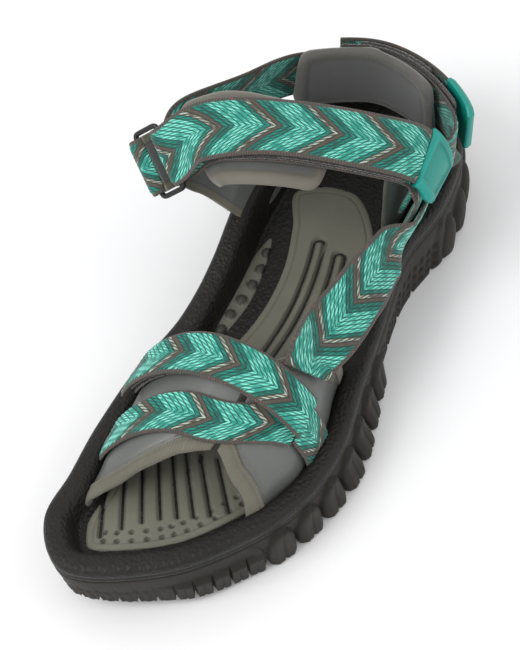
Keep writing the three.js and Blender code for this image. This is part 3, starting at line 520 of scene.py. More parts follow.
diagonalPath = strapPath([
    [*anklePath(junctionAt, -0.4, 2.7), *junctionDown, 21],
    [*anklePath(junctionAt, 1.15, 2.7), *junctionDown, 21],
    [lateralX(35) - 1, 32, junctionZ + 2, 0.4, -0.05, -0.92],
    [lateralX(10) - 6, 10, junctionZ + 3, 0.68, 0, -0.73],
    [lateralX(-12) - 12, -10, junctionZ + 2, 0.85, 0, -0.5], onShoulder(-25), onShoulder(-32.5),
], web)
flapX, flapBed = anchorX - 4.6, float(bedTop(69))
flapPath = strapPath([
    [flapX, 69, flapBed - slotDeep, 0, -1, 0, 32], [flapX, 69, flapBed + 10, 0, -1, 0, 32],
    [flapX + 1.5, 69, flapBed + 32, 0, -1, 0, 30], [flapX + 1, 73, flapBed + 52, 0, -1, 0, 20],
], 32)
frontRunY = profile([[27, -51], [90, -66], [168, -80]])
rearRunY = profile([[27, -48], [90, -45], [168, -53]])


def onVamp(middle, wide):  # strap surface over the vamp: q along it, side -1 to 1 across, height above
    return lambda q, side, h: vamp(middle(np.asarray(q, float)) + np.asarray(side) * wide / 2, q, h)


def place(piece, body, slot, *cadNodes):
    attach(piece, body)
    if cadNodes:
        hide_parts(*cadNodes)
    return piece


# places along a surface about one step apart, and how far along each is
def evenly(surf, a0, a1, height, step):
    a = np.linspace(a0, a1, 600)
    p = surf(a, 0.0, height)
    length = np.concatenate([[0], np.cumsum(np.linalg.norm(np.diff(p, axis=0), axis=1))])
    s = np.linspace(0, length[-1], max(4, int(length[-1] / step) + 1))
    return np.interp(s, length, a), s


def cordRelief(s, v, half):
    # rounded cords slanting to the middle, with a flat ribbed selvedge beyond 0.86 of the half width
    row = (s + cords["slant"] * np.abs(v)) / cords["pitch"]
    x = row - np.floor(row) - 0.5
    body = 1 - smoothStep(0.82, 0.88, np.abs(v) / half)
    return cords["relief"] * ((1 - 4 * x * x) * body - (1 - body) * 0.4)


def webbing(name, surf, a0, a1, low, high, wide, point=1, start=0.0, step=0.5):
    # a flat strap: cord relief on its outer face, half of it on its inner face, and thin rounded edges
    a, s = evenly(surf, a0, a1, high, step)
    s = point * (s + start)
    v = np.linspace(-1, 1, int(wide / 0.46) | 1)
    alongGrid, acrossGrid = np.meshgrid(a, v, indexing="ij")
    lengthGrid = np.repeat(s[:, None], len(v), 1)
    xGrid = acrossGrid * wide / 2
    relief = cordRelief(lengthGrid, xGrid, wide / 2)
    rounding = 0.45 * smoothStep(0.93, 1, np.abs(acrossGrid)) ** 2
    outer = surf(alongGrid, acrossGrid, high - 0.15 + relief - rounding)
    inner = surf(alongGrid, acrossGrid, low + 0.15 - 0.5 * relief + rounding)
    uv = np.stack([lengthGrid / 100, xGrid / 100], -1)
    tint = np.stack([np.abs(acrossGrid)] * 3, -1)
    return outerSheet(name, outer, inner, materials["webbing"], uv, tint)


def outerSheet(name, outer, inner, material, uv=None, tint=None):
    # closed sheet whose outer face looks away from the inner one, whichever way the grid runs
    r, c = outer.shape[0] // 2, outer.shape[1] // 2
    d1, d2 = outer[r + 1, c] - outer[r, c], outer[r, c + 1] - outer[r, c]
    if np.dot(np.cross(d1, d2), outer[r, c] - inner[r, c]) > 0:
        flip = slice(None, None, -1)
        outer, inner = outer[:, flip], inner[:, flip]
        uv, tint = (None if g is None else g[:, flip] for g in (uv, tint))
    return closedSheet(name, outer, inner, material, uv=uv, tint=tint)



# ---- camera, floor and lights
view = {"target": [0, 0, 30], "azimuth": 34.485, "elevation": 55.205, "distance": 785, "roll": -10.01,
        "lens": 104.46, "shift": (-0.0280, -0.0079)}
az, el, roll = (np.radians(view[k]) for k in ("azimuth", "elevation", "roll"))
back = np.array([np.sin(az) * np.cos(el), -np.cos(az) * np.cos(el), np.sin(el)])
right = np.array([np.cos(az), np.sin(az), 0])
up = np.cross(back, right)
axisX = right * np.cos(roll) + up * np.sin(roll)
axisY = -right * np.sin(roll) + up * np.cos(roll)
camera = bpy.data.objects.new("camera", bpy.data.cameras.new("camera"))
camera.data.lens = view["lens"]
camera.data.sensor_width = 36
camera.data.shift_x, camera.data.shift_y = view["shift"]
camera.data.clip_start, camera.data.clip_end = 0.01, 20
place4 = np.eye(4)
place4[:3, 0], place4[:3, 1], place4[:3, 2] = axisX, axisY, back
place4[:3, 3] = toRow(view["target"]) + back * view["distance"] / 1000
camera.matrix_world = Matrix(place4.tolist())
bpy.context.scene.collection.objects.link(camera)
bpy.context.scene.camera = camera

studio = {"floor": srgb(246, 246, 247), "key": 12.0, "fill": 2.5, "world": 0.84}
floorMesh = bpy.data.meshes.new("floor")
floorMesh.from_pydata([(-4, -4, 0), (4, -4, 0), (4, 4, 0), (-4, 4, 0)], [], [(0, 1, 2, 3)])
floor = bpy.data.objects.new("floor", floorMesh)
bpy.context.scene.collection.objects.link(floor)
floorPaint = bpy.data.materials.new("floorPaint")
floorPaint.use_nodes = True
floorPaint.node_tree.nodes["Principled BSDF"].inputs["Base Color"].default_value = (*studio["floor"], 1)
floorPaint.node_tree.nodes["Principled BSDF"].inputs["Roughness"].default_value = 0.9
floorMesh.materials.append(floorPaint)
world = bpy.data.worlds.new("studio")
world.use_nodes = True
world.node_tree.nodes["Background"].inputs["Color"].default_value = (1, 1, 1, 1)
world.node_tree.nodes["Background"].inputs["Strength"].default_value = studio["world"]
bpy.context.scene.world = world
bpy.context.scene.view_settings.view_transform = "Standard"
for name, spot, power, size in [("key", (-0.5, -0.9, 1.3), studio["key"], 0.8),
                                ("fill", (1.1, 0.5, 0.9), studio["fill"], 1.0)]:
    lamp = bpy.data.lights.new(name, "AREA")
    lamp.energy, lamp.size = power, size
    light = bpy.data.objects.new(name, lamp)
    toward = np.array(spot)
    z = unit(toward - np.array([0, 0, 0.03]))
    x = unit(np.cross([0, 0, 1], z))
    turned = np.eye(4)
    turned[:3, 0], turned[:3, 1], turned[:3, 2], turned[:3, 3] = x, np.cross(z, x), z, toward
    light.matrix_world = Matrix(turned.tolist())
    bpy.context.scene.collection.objects.link(light)
print("camera and lights ready")

# ---- outsole
tread = {"lugReach": 4.3, "lugFlare": 4.2, "floor": 4.0, "leafPitch": 15.5, "knobPitch": 15.0,
         "blockPitch": 8.0, "around": 1340}


def sideRelief(x, y, s, f):
    # side wall relief in mm at distance s round the rim and share f of the wall's height: knobs round the
    # heel, a dented panel at the waist, fluted leaves along the forefoot, blocks and scallops round the toe
    heel, toe = smoothStep(68, 78, y), 1 - smoothStep(-98, -88, y)
    waistZone = smoothStep(4, 14, y) * (1 - smoothStep(66, 74, y))
    fore = np.clip(1 - heel - toe - waistZone, 0, 1)
    wave = lambda pitch: (s / pitch + 0.5) % 1 - 0.5
    k = wave(tread["knobPitch"])
    knob = np.sqrt(np.clip(1 - (k / 0.42) ** 2 - ((f - 0.28) / 0.5) ** 2, 0, 1))
    l = wave(tread["leafPitch"])
    halfLeaf = 0.485 * np.sqrt(np.clip(1 - (f / 0.99) ** 3, 0.001, 1))
    leaf = np.sqrt(np.clip(1 - (np.abs(l) / halfLeaf) ** 2.6, 0,
                           1)) * (1 - 0.3 * np.exp(-(l / 0.05) ** 2)) * (1 - 0.35 * f)
    flute = 0.05 * np.cos(2 * np.pi * l * 4) * leaf
    dentS, dentF = (s / 5.2) % 1, (f * 4.4) % 1
    dents = -0.9 * smoothStep(0.2, 0.3, dentS) * (1 - smoothStep(0.75, 0.85, dentS)) * smoothStep(0.2, 0.3,
        dentF) \
        * (1 - smoothStep(0.7, 0.8, dentF)) * (f > 0.15) * (f < 0.62)
    b = np.abs(wave(tread["blockPitch"]))
    block = (1 - smoothStep(0.4, 0.47, b)) * (1 - smoothStep(0.5, 0.62,
        f)) * 0.55 * (1 - 0.3 * np.exp(-(b / 0.05) ** 2))
    scallop = 0.25 * np.abs(np.cos(np.pi * s / 4.0)) * (1 - smoothStep(0.35, 0.5, f))
    tip = 1 - smoothStep(-128, -116, y)
    outerSide = 0.25 + 0.75 * smoothStep(-10, 25, x)
    toeRelief = (block * (1 - tip) * outerSide + 0.6 * scallop * tip) * tread["lugReach"]
    return (knob * heel + (leaf + flute) * fore) * tread["lugReach"] + toe * toeRelief + waistZone * (dents
        + 0.2)


def footNotch(y, s):  # 1 where a lug meets the ground, 0 in the gap between two
    heel, toe = smoothStep(68, 78, y), 1 - smoothStep(-98, -88, y)
    pitch = np.where(heel > 0.5, tread["knobPitch"],
                     np.where(toe > 0.5, tread["blockPitch"], tread["leafPitch"]))
    wave = np.abs((s / pitch + 0.5) % 1 - 0.5)
    return 1 - smoothStep(0.4, 0.48, wave)


def treadHeight(x, y):  # chevron bars and a middle post under the floor, in mm
    bars = 0
    for at in (-110, -92, -74, -56, -38, -20, 62, 80, 98, 112):
        fold = y - at - np.where(y < 0, 0.28, 0.4) * np.abs(x) + 4
        wide = np.where(y < 0, 24, 17)
        bars = np.maximum(bars, (1 - smoothStep(3.2, 4.2, np.abs(fold)))
                          * (1 - smoothStep(wide - 1.5, wide, np.abs(x - 1))))
    post = (1 - smoothStep(10, 11.5, np.abs(x))) * (1 - smoothStep(5, 6.5, np.abs(y - 45)))
    return 4 * np.maximum(bars, post)


# a row inside the sole, part of the way from 12 mm inside the rim to its middle line
def closeIn(rimP, rimN, share, z):
    y = np.clip(rimP[:, 1], toeY + 30, heelY - 32)
    p = rimP[:, :2] - rimN * 12
    q = np.stack([middleLine(y), y], -1)
    at = p + (q - p) * share
    return np.column_stack([at, z(at[:, 0], at[:, 1])])


def makeOutsole():
    n = tread["around"]
    share = np.arange(n) / n
    p, nrm = rimAt(share)
    x, y = p[:, 0], p[:, 1]
    s = share * 664.0
    lip = topOf(x, y) - pattern["lipDrop"]
    g = ground(y)
    notch = footNotch(y, s)
    foot = g + tread["floor"] * (1 - notch)
    level = lambda outset, z: np.column_stack([x + nrm[:, 0] * outset, y + nrm[:, 1] * outset, z])
    floorZ = lambda qx, qy: ground(qy) + tread["floor"] - treadHeight(qx, qy)
    rows = [closeIn(p, nrm, k, floorZ) for k in np.linspace(0.97, 0.0, 26)]
    rows.append(level(-9.5, g + tread["floor"]))
    for k in (0, 0.5, 1):
        rows.append(level(-8.6 + 0.6 * k, g + tread["floor"] + (foot - g - tread["floor"]) * k))
    rows.append(level(-5, foot))
    for f in np.concatenate([[0.0], np.linspace(0.02, 0.98, 30)]):
        base = -0.8 + 2.3 * smoothStep(0, 1, f)
        edge = smoothStep(-0.02, 0.06, f)
        flare = tread["lugFlare"] * np.exp(-(((y + 30) / 32) ** 2)) * (x > 0) * (1 - smoothStep(0.1, 0.75,
            f))
        out = base + (sideRelief(x, y, s, np.full(n, f)) + flare * (0.35 + 0.65 * notch)) * smoothStep(0,
            0.05, 0.995 - f) * (0.55 + 0.45 * edge)
        rows.append(level(out, foot + (lip - foot) * f))
    rows += [level(1.2, lip + 0.1), level(0.6, lip + 0.2), level(-2.9, lip + 0.1), level(-3.5, lip - 1)]
    rows += [level(-4.5, g + 9), level(-6, g + 8)]
    inside = lambda qx, qy: ground(qy) + pattern["cupFloor"]
    rows += [closeIn(p, nrm, k, inside) for k in (0.0, 0.5, 0.97)]
    grid = np.stack(rows)
    rowCount = len(rows)
    shade = np.ones((rowCount, n))
    wall = slice(31, 62)
    relief = sideRelief(x[None], y[None], s[None], np.linspace(0, 1, 31)[:, None])
    shade[wall] = np.clip(0.72 + 0.09 * relief, 0.6, 1.12)
    tint = colours["rubber"] * shade[..., None]
    last = (rowCount - 1) * n
    return makeMesh("ruggedOutsole", grid.reshape(-1, 3), gridFaces(rowCount, n, wrap=True),
                    materials["rubber"],
                    tint=tint.reshape(-1, 3), extra=[list(range(n))[::-1], list(range(last, last + n))])


place(makeOutsole(), "sandal", "rubber", "outsole")

# ---- midsole: a foam cup with a rounded, beaded rim
cup = {"around": 900}


def makeMidsole():
    n = cup["around"]
    p, nrm = rimAt(np.arange(n) / n)
    x, y = p[:, 0], p[:, 1]
    top = topOf(x, y)
    lip, bed, g = top - pattern["lipDrop"], bedTop(y), ground(y)
    level = lambda outset, z: np.column_stack([x + nrm[:, 0] * outset, y + nrm[:, 1] * outset, z])
    floorZ = lambda qx, qy: ground(qy) + pattern["cupFloor"] + gap
    bedZ = lambda qx, qy: bedTop(qy)
    rows = [closeIn(p, nrm, k, floorZ) for k in (0.97, 0.5, 0.0)]
    rows += [level(-4.9, g + 9.3), level(-3.9, lip - 0.6), level(-3.6, lip + 0.5), level(0.8, lip + 0.5)]
    rows += [level(1.5, lip + 1.0), level(1.7, lip + 2.2), level(1.3, lip + 3.0), level(1.6, lip + 3.6),
             level(1.7, top - 2.6),
             level(1.2, top - 1.2), level(0.3, top - 0.35), level(-0.9, top), level(-2.2, top + 0.05),
             level(-3.6, top),
             level(-5.0, top - 0.15), level(-6.2, top - 0.5), level(-7.0, top - 1.4)]
    for k in np.linspace(0, 1, 8)[1:]:
        drop = smoothStep(0, 1, k)
        rows.append(level(-7.0 - 4.2 * k, (top - 1.4) * (1 - drop) + bed * drop))
    rows += [closeIn(p, nrm, k, bedZ) for k in np.linspace(0, 0.97, 14)]
    grid = np.stack(rows)
    last = (len(rows) - 1) * n
    tint = np.broadcast_to(colours["foam"], (len(rows) * n, 3)).copy()
    return makeMesh("foamMidsole", grid.reshape(-1, 3), gridFaces(len(rows), n, wrap=True),
                    materials["foam"],
                    tint=tint, extra=[list(range(n))[::-1], list(range(last, last + n))])


place(makeMidsole(), "sandal", "eva_foam", "midsole")
print("sole ready")

# ---- footbed inserts
insole = {"proud": 1.2, "sunk": 3.0, "cell": 0.7, "grooveWide": 1.45, "grooveDeep": 1.25, "noduleRise": 1.8}
insertInset = inset + 3.5
shareOf = lambda y, side: (lambda r: np.flatnonzero(coarseRim[:,
    0] * side > 10)[np.argmin(np.abs(coarseRim[coarseRim[:, 0] * side > 10][:, 1] - y))] / 88)(0)


def insetRun(a, b, count, inward):
    p, nrm = rimAt(a + (b - a) * np.arange(count + 1) / count)
    return (p[:, :2] - nrm * inward).tolist()


def plate(name, points, proud, height, tone):
    # a plate over a closed outline: each row of the grid runs across it, and its edge rolls down to the bed
    c = centripetal([[x, y, 0] for x, y in points], np.linspace(0, 1, 1600, endpoint=False), closed=True)[:,
        :2]
    lo, hi = int(np.argmin(c[:, 1])), int(np.argmax(c[:, 1]))
    turned = np.roll(c, -lo, axis=0)
    cut = (hi - lo) % len(c)
    sideA, sideB = turned[: cut + 1], np.vstack([turned[cut:], turned[:1]])[::-1]
    y0, y1 = c[lo, 1] + 0.02, c[hi, 1] - 0.02
    m = int((y1 - y0) / insole["cell"])
    ys = y0 + (y1 - y0) * (0.5 - 0.5 * np.cos(np.pi * np.linspace(0.02, 0.98, m))) * 0.35 + (y1
        - y0) * np.linspace(0, 1, m) * 0.65
    ys[0], ys[-1] = y0, y1
    ends = []
    for side in (sideA, sideB):
        order = np.maximum.accumulate(side[:, 1] + np.arange(len(side)) * 1e-7)
        ends.append(np.interp(ys, order, side[:, 0]))
    left, rightEnd = np.minimum(*ends), np.maximum(*ends)
    across = int(np.max(rightEnd - left) / insole["cell"])
    u = 0.5 - 0.5 * np.cos(np.pi * np.linspace(0, 1, across))
    u = 0.5 * u + 0.5 * np.linspace(0, 1, across)
    xGrid = left[:, None] + (rightEnd - left)[:, None] * u
    yGrid = np.repeat(ys[:, None], across, 1)
    flat = np.stack([xGrid, yGrid], -1).reshape(-1, 2)
    fromEdge = np.min([np.linalg.norm(flat - q, axis=1) for q in c[::4]], axis=0).reshape(xGrid.shape)
    rolled = proud * np.sqrt(np.clip(1 - (1 - np.clip(fromEdge / 1.6, 0, 1)) ** 2, 0, 1))
    relief, shade = height(xGrid, yGrid, fromEdge)
    zGrid = bedTop(yGrid) + rolled + relief - 0.15
    lower = bedTop(yGrid) - insole["sunk"]
    tint = tone * shade[..., None]
    return outerSheet(name, np.stack([xGrid, yGrid, zGrid], -1), np.stack([xGrid, yGrid, lower], -1),
                      materials["insert"], tint=tint)


# distance to a run of points, from the nearest of many places along it
def lineDistance(xGrid, yGrid, path):
    path = np.asarray(path, float)
    seg = np.linspace(0, len(path) - 1, 260)
    q = np.column_stack([np.interp(seg, np.arange(len(path)), path[:, k]) for k in (0, 1)])
    best = np.full(xGrid.shape, 1e9)
    for a in np.array_split(q, 20):
        d = (xGrid[..., None] - a[:, 0]) ** 2 + (yGrid[..., None] - a[:, 1]) ** 2
        best = np.minimum(best, d.min(-1))
    return np.sqrt(best)


def groove(d, wide, deep):  # a rounded furrow and its shade
    k = np.clip(1 - (d / wide) ** 2, 0, 1)
    return -deep * k, 1 - 0.42 * np.sqrt(k)


def dots(xGrid, yGrid, places, radius, height):  # round nodules, or dimples where the height is below 0
    out = np.zeros(xGrid.shape)
    for cx, cy in places:
        d = (xGrid - cx) ** 2 + (yGrid - cy) ** 2
        out = np.where(d < radius ** 2, height * np.sqrt(np.clip(1 - d / radius ** 2, 0, 1)), out)
    return out


def footbedRelief(xGrid, yGrid, fromEdge):
    relief, shade = np.zeros(xGrid.shape), np.ones(xGrid.shape)
    lines = []
    # long furrows under the toes, fanned out to the outer side, ending along the toe's edge
    for k in range(8):
        lean = np.radians(26 + 1.7 * k)
        front = np.array([-21 + 5.8 * k, -117 + 4.9 * k + 3 * np.sin(k * 0.7)])
        lines.append(front + np.linspace(0, 54 - 4 * k, 12)[:,
            None] * np.array([-np.sin(lean), np.cos(lean)]))
    for k in range(3):  # nested loops at the waist, bowed to the lateral side, closed round at the heel end
        for side in (0, 1):
            w = k * 10.5 + side * 5.2
            ys = np.linspace(-40, 44 - 3 * k, 26)
            bow = 1 - ((ys - 6) / 52) ** 2
            lines.append(np.column_stack([-9 + w * 0.92 + (9 + 1.2 * k) * bow + 3.2
                                          * (1 - smoothStep(-40, -20, ys)), ys]))
        a = np.linspace(0, np.pi, 9)
        ends = [lines[-2][-1], lines[-1][-1]]
        mid, r = (ends[0] + ends[1]) / 2, abs(ends[1][0] - ends[0][0]) / 2
        lines.append(np.column_stack([mid[0] - r * np.cos(a), mid[1] + r * np.sin(a)]))
    for line in lines:
        h, c = groove(lineDistance(xGrid, yGrid, line), insole["grooveWide"], insole["grooveDeep"])
        relief, shade = np.minimum(relief, h), np.minimum(shade, c)
    pr, pn = rimAt(np.linspace(0.02, 0.155, 13))
    holes = [*(pr[:, :2] - pn * 17.5), *(pr[:, :2] - pn * 21.5)]
    dimple = dots(xGrid, yGrid, holes, 1.15, -1.1)
    relief = np.minimum(relief, dimple)
    shade = np.where(dimple < 0, 0.4, shade)
    border = np.abs(fromEdge - 3.0)
    h, c = groove(border, 0.5, 0.25)
    return relief + h, shade * (0.5 + 0.5 * c)


def archRelief(xGrid, yGrid, fromEdge):
    edge = medialX(20) + inset
    places = [(edge + 5.0 + 1.2 * np.sin(i), 32 - i * 8.4) for i in range(6)]
    places += [(edge + 11.5 + 0.6 * i, 27.5 - i * 8.4) for i in range(5)]
    rise = dots(xGrid, yGrid, places, 2.5, insole["noduleRise"])
    return rise, np.where(rise > 0.1, 0.24, 0.8)


def heelRelief(xGrid, yGrid, fromEdge):
    places = [(i * 7.2 + (j % 2) * 3.6, 78 + j * 6.4) for i in range(-4, 5) for j in range(8)]
    places = [q for q in places if ((q[0] - 1) / 25) ** 2 + ((q[1] - 94) / 23) ** 2 < 1]
    rise = dots(xGrid, yGrid, places, 2.2, insole["noduleRise"] - 0.2)
    return rise, np.where(rise > 0.1, 0.5, 0.62)


footbedPoints = [*insetRun(-0.05, 0.33, 14, insertInset), [lateralX(36) - insertInset, 36],
                 [lateralX(58) - inset - 4.6 - 3.25 - 3, 56], [0, 74], [-24, 66], [-17, 48], [-11.5, 28],
                 [-10.5, 6], [-14, -14], [-24, -32], *insetRun(0.83, 0.93, 3, insertInset)]
archEdge = medialX(20) + inset
archPoints = [[archEdge + 3, 40], [-19, 22], [-18, 4], [-22.5, -16], [archEdge + 1.5, -8], [archEdge, 12],
              [archEdge + 0.5, 32]]
heelFrom = 69 + 16 + 4
heelPoints = [*insetRun(shareOf(heelFrom + 2, 1), shareOf(heelFrom + 4, -1), 12, insertInset),
              [-14, heelFrom],
              [6, heelFrom - 2]]
place(plate("groovedFootbed", footbedPoints, insole["proud"], footbedRelief, colours["insert"]), "sandal",
      "grey_foam",
      "footbed_insert")
place(plate("archNodules", archPoints, 0.6, archRelief, colours["insert"]), "sandal", "grey_foam",
      "arch_insert")
place(plate("heelNodules", heelPoints, 0.6, heelRelief, colours["insert"]), "sandal", "grey_foam",
      "heel_insert")
print("inserts ready")

# ---- vamp panels and their bindings
panels = {"stitchInset": 2.6, "stitchLong": 2.4, "rib": 1.1}
medialFront = profile([[78, -66], [95, -76], [117, -89], [140, -98], [180, -102]])
lateralFront = profile([[5, -82], [55, -75], [73, -66]])
lateralRear = profile([[15, -18], [45, -30], [73, -44]])


def eased(edge, reach=15):  # a cut edge as its own mean over the places either side, so that it runs smooth
    around = np.linspace(-reach, reach, 13)
    return lambda q: sum(edge(np.asarray(q, float) + d) for d in around) / len(around)


medialFront, lateralFront, lateralRear = eased(medialFront), eased(lateralFront, 10), eased(lateralRear, 10)


def vampPanel(name, q0, q1, front, rear, seamFront, seamRear):
    # panel on the vamp between two edge lines: smooth, thinner at its edges, with a line of stitches along
    # them
    q = np.linspace(q0, q1, int(abs(q1 - q0) * 1.1))
    v = np.linspace(0, 1, 90)
    ringGrid, acrossGrid = np.meshgrid(q, v, indexing="ij")
    f, r = front(ringGrid), rear(ringGrid)
    yGrid = f + (r - f) * acrossGrid
    fromFront, fromRear = yGrid - f, r - yGrid
    edge = np.minimum(fromFront, fromRear)
    stitch = np.zeros(ringGrid.shape)
    for on, d in ((seamFront, fromFront), (seamRear, fromRear)):
        if on:
            stitch += np.exp(-((d - panels["stitchInset"]) / 0.35) ** 2)
    dash = smoothStep(0.12, 0.2, (ringGrid * 0.75 / panels["stitchLong"]) % 1)
    high = 1.7 + 0.25 * smoothStep(0, 6, edge) - 0.35 * stitch + 0.3 * stitch * dash
    outer = vamp(yGrid, ringGrid, high)
    inner = vamp(yGrid, ringGrid, 0.1)
    # stitch dashes in thread colour; the sunk stitch line between them is painted darker, painted shade in
    # the groove
    tone = np.where((stitch * dash)[..., None] > 0.4, colours["binding"] * 0.8,
                    colours["panel"] * (1 - 0.25 * stitch)[..., None])
    return outerSheet(name, outer, inner, materials["panel"], tint=tone)


def vampBinding(name, q0, q1, edge, sign):
    # ribbed tape folded round a panel's edge: a flattened half round over both faces, with a stitch line
    q = np.linspace(q0, q1, int(abs(q1 - q0) * 3.2))
    a = np.linspace(-1, 1, 15)
    ringGrid, alongGrid = np.meshgrid(q, a, indexing="ij")
    wide = 6.8
    yGrid = edge(ringGrid) + sign * (-0.3 + wide * (1 - np.abs(alongGrid)))
    fold = np.sqrt(np.clip(1 - (1 - np.abs(alongGrid)) ** 3, 0, 1))
    rib = 0.1 * np.cos(2 * np.pi * ringGrid * 0.72 / panels["rib"]) * (np.abs(alongGrid) > 0.1)
    seam = np.exp(-((np.abs(alongGrid) - 0.72) / 0.06) ** 2) * 0.25
    high = 0.9 + np.sign(alongGrid) * (1.55 * fold + rib - seam)
    points = vamp(yGrid, ringGrid, high)
    closed = np.concatenate([points, points[:, :1]], 1)[:, :-1]
    shade = 1 - 0.12 * (rib < 0) - 0.4 * seam
    rows, cols = points.shape[:2]
    tint = (colours["binding"] * shade[..., None]).reshape(-1, 3)
    last = (rows - 1) * cols
    p = closed.reshape(-1, 3)
    volume = signedVolume(p, gridFaces(rows, cols, wrap=True))
    faces = gridFaces(rows, cols, wrap=True, flip=volume < 0)
    ends = [list(range(cols))[::-1], list(range(last, last + cols))]
    ends = [e[::-1] for e in ends] if volume < 0 else ends
    return makeMesh(name, p, faces, materials["binding"], tint=tint, extra=ends)


def signedVolume(p, quads):
    a, b, c, d = (p[quads[:, k]] for k in range(4))
    return float((np.cross(a, b) * c).sum() + (np.cross(a, c) * d).sum())


flat = lambda value: (lambda q: np.full(np.shape(q), float(value)))
place(vampPanel("medialVampPanel", 77, 197.5, medialFront, flat(-42), True, True), "sandal", "grey_panel",
      "vamp_medial_panel")
place(vampPanel("lateralVampPanel", -17.5, 73, lateralFront, lateralRear, True, True), "sandal",
      "grey_panel",
      "vamp_lateral_panel")
place(vampBinding("medialBinding", 77, 197.5, medialFront, -1), "sandal", "binding", "vamp_medial_binding")
place(vampBinding("lateralFrontBinding", -17.5, 73, lateralFront, -1), "sandal", "binding",
      "vamp_lateral_front_binding")
place(vampBinding("lateralRearBinding", -17.5, 73, lateralRear, 1), "sandal", "binding",
      "vamp_lateral_rear_binding")

# ---- webbing straps
narrow = pattern["webNarrow"]
toeFront, toeRear, toeSide = onVamp(frontRunY, narrow), onVamp(rearRunY, narrow), onVamp(flat(toeRingY),
    narrow)


def foldOver(path, narrower=0.0, leg=0.0):
    # webbing round a ring bar: the base leg, a half turn and the tail leg as one surface; a runs 0 to 1 to
    # 2 to 3
    p, d, w, nrm, half = path.frameAt(1.0)
    half = half - narrower

    def surf(a, side, h):
        a, side, h = np.broadcast_arrays(*(np.asarray(k, float) for k in (a, side, h)))
        angle = -np.pi / 2 + np.pi * np.clip(a, 0, 1)
        r = turnRadius + h
        onTurn = p + w * (side * half)[..., None] + nrm * (barHeight + r * np.sin(angle))[..., None] \
            + d * (gap + r * np.cos(angle))[..., None]
        t = 1.0 - leg * np.clip(a - 1, 0, 1)
        onLeg = path(t, side, 6.3 + h) + d * (gap * (1 - np.clip(a - 1, 0, 1)))[..., None]
        return np.where((a <= 1)[..., None], onTurn, onLeg)
    return surf


webPieces = [
    ("ankleWebbing", anklePath, 0, 1, 0, thick, 25, 1, "ankle_strap_base"),
    ("quarterKeeper", foldOver(quarterPath, 0.2), 0, 1, 0, thick, 25, 1, "ring_keeper"),
    ("diagonalWebbing", diagonalPath, 0, 1, 0, thick, 22.5, 1, "diagonal_strap"),
    ("toeFrontWebbing", toeFront, 35, 197.5, 2.8, 4.6, narrow, -1, "toe_strap_front_run"),
    ("toeAnchorWebbing", toeSide, -17.5, 33, 2.8, 4.6, narrow, -1, "toe_anchor"),
]
for name, surf, a0, a1, low, high, wide, point, node in webPieces:
    place(webbing(name, surf, a0, a1, low, high, wide, point=point), "sandal", "webbing", node)
place(webbing("heelWebbing", heelPath, 0, 1, 0, thick, 25, point=-1), "heel_strap", "webbing",
      "heel_strap_base")
place(webbing("heelTail", heelPath, 14 / 32, 20 / 32, 6.3, 8.1, 25, point=1), "heel_tail", "webbing",
      "heel_strap_tail")
place(webbing("toeTail", toeRear, 35, 162, 6.5, 8.3, narrow, point=-1), "toe_tail", "webbing",
      "toe_strap_tail")
legShare = 0.045
ankleFold = foldOver(anklePath, 0.0, legShare)
tailFrom = 0.5625
tailLong, foldLong = (evenly(surf, a0, a1, h, 1)[1][-1] for surf, a0, a1, h in
                      ((anklePath, tailFrom, 1 - legShare, 8.1), (ankleFold, 0, 2, thick)))
foldPiece = webbing("ankleFold", ankleFold, 0, 2, 0, thick, 25, point=1, start=-tailLong - foldLong)
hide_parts("ankle_strap_turn")
foldStart, foldEnd = toRow(anklePath(1.0, 0, 7.2)), toRow(anklePath(1 - legShare, 0, 7.2))
tuple(foldStart)
tuple(foldEnd)
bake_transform(foldPiece)
place(webbing("ankleTail", anklePath, tailFrom, 1 - legShare, 6.3, 8.1, 25, point=-1), "ankle_tail",
      "webbing", "ankle_strap_tail")
print("webbing ready")

# ---- hook and loop tapes
fuzz = {"rise": 0.28, "cell": 0.55}


def tapeStrip(name, surf, a0, a1, low, high, wide):
    # a tape with an uneven fuzzy face and ragged edges
    a, s = evenly(surf, a0, a1, high, fuzz["cell"])
    v = np.linspace(-1, 1, int(wide / fuzz["cell"]))
    alongGrid, acrossGrid = np.meshgrid(a, v, indexing="ij")
    i, j = np.meshgrid(np.arange(len(a)), np.arange(len(v)), indexing="ij")
    rough = hashNoise(i, j) - 0.5
    ragged = 1 + 0.02 * (hashNoise(i, j * 0, 3) - 0.5) * (np.abs(acrossGrid) > 0.97)
    outer = surf(alongGrid, acrossGrid * ragged, high - 0.2 + fuzz["rise"] * rough)
    inner = surf(alongGrid, acrossGrid * ragged, low + 0.2 - fuzz["rise"] * rough)
    tint = colours["tape"] * (0.75 + 0.5 * hashNoise(i, j, 5))[..., None]
    return outerSheet(name, outer, inner, materials["tape"], tint=tint)


tapes = [
    ("ankleLoopTape", anklePath, 19 / 32, 28 / 32, 2.6, 3.8, 25, "sandal", "ankle_loop_tape"),
    ("ankleHookTape", anklePath, 19 / 32, 25 / 32, 4.3, 5.5, 25, "ankle_tail", "ankle_hook_tape"),
    ("heelLoopTape", heelPath, 14 / 32, 22 / 32, 2.6, 3.8, 25, "heel_strap", "heel_loop_tape"),
    ("heelHookTape", heelPath, 15 / 32, 19 / 32, 4.3, 5.5, 25, "heel_tail", "heel_hook_tape"),
    ("toeLoopTape", onVamp(rearRunY, 12), 86, 156, 2.8, 4.0, 12, "sandal", "toe_strap_loop_tape"),
    ("toeHookTape", onVamp(rearRunY, 14), 86, 152, 5.0, 6.2, 14, "toe_tail", "toe_strap_hook_tape"),
]
for name, surf, a0, a1, low, high, wide, body, node in tapes:
    place(tapeStrip(name, surf, a0, a1, low, high, wide), body, "hook_and_loop", node)

# ---- moulded pull tips
tips = {"chamfer": 1.6, "recess": 0.7, "border": 4.2}


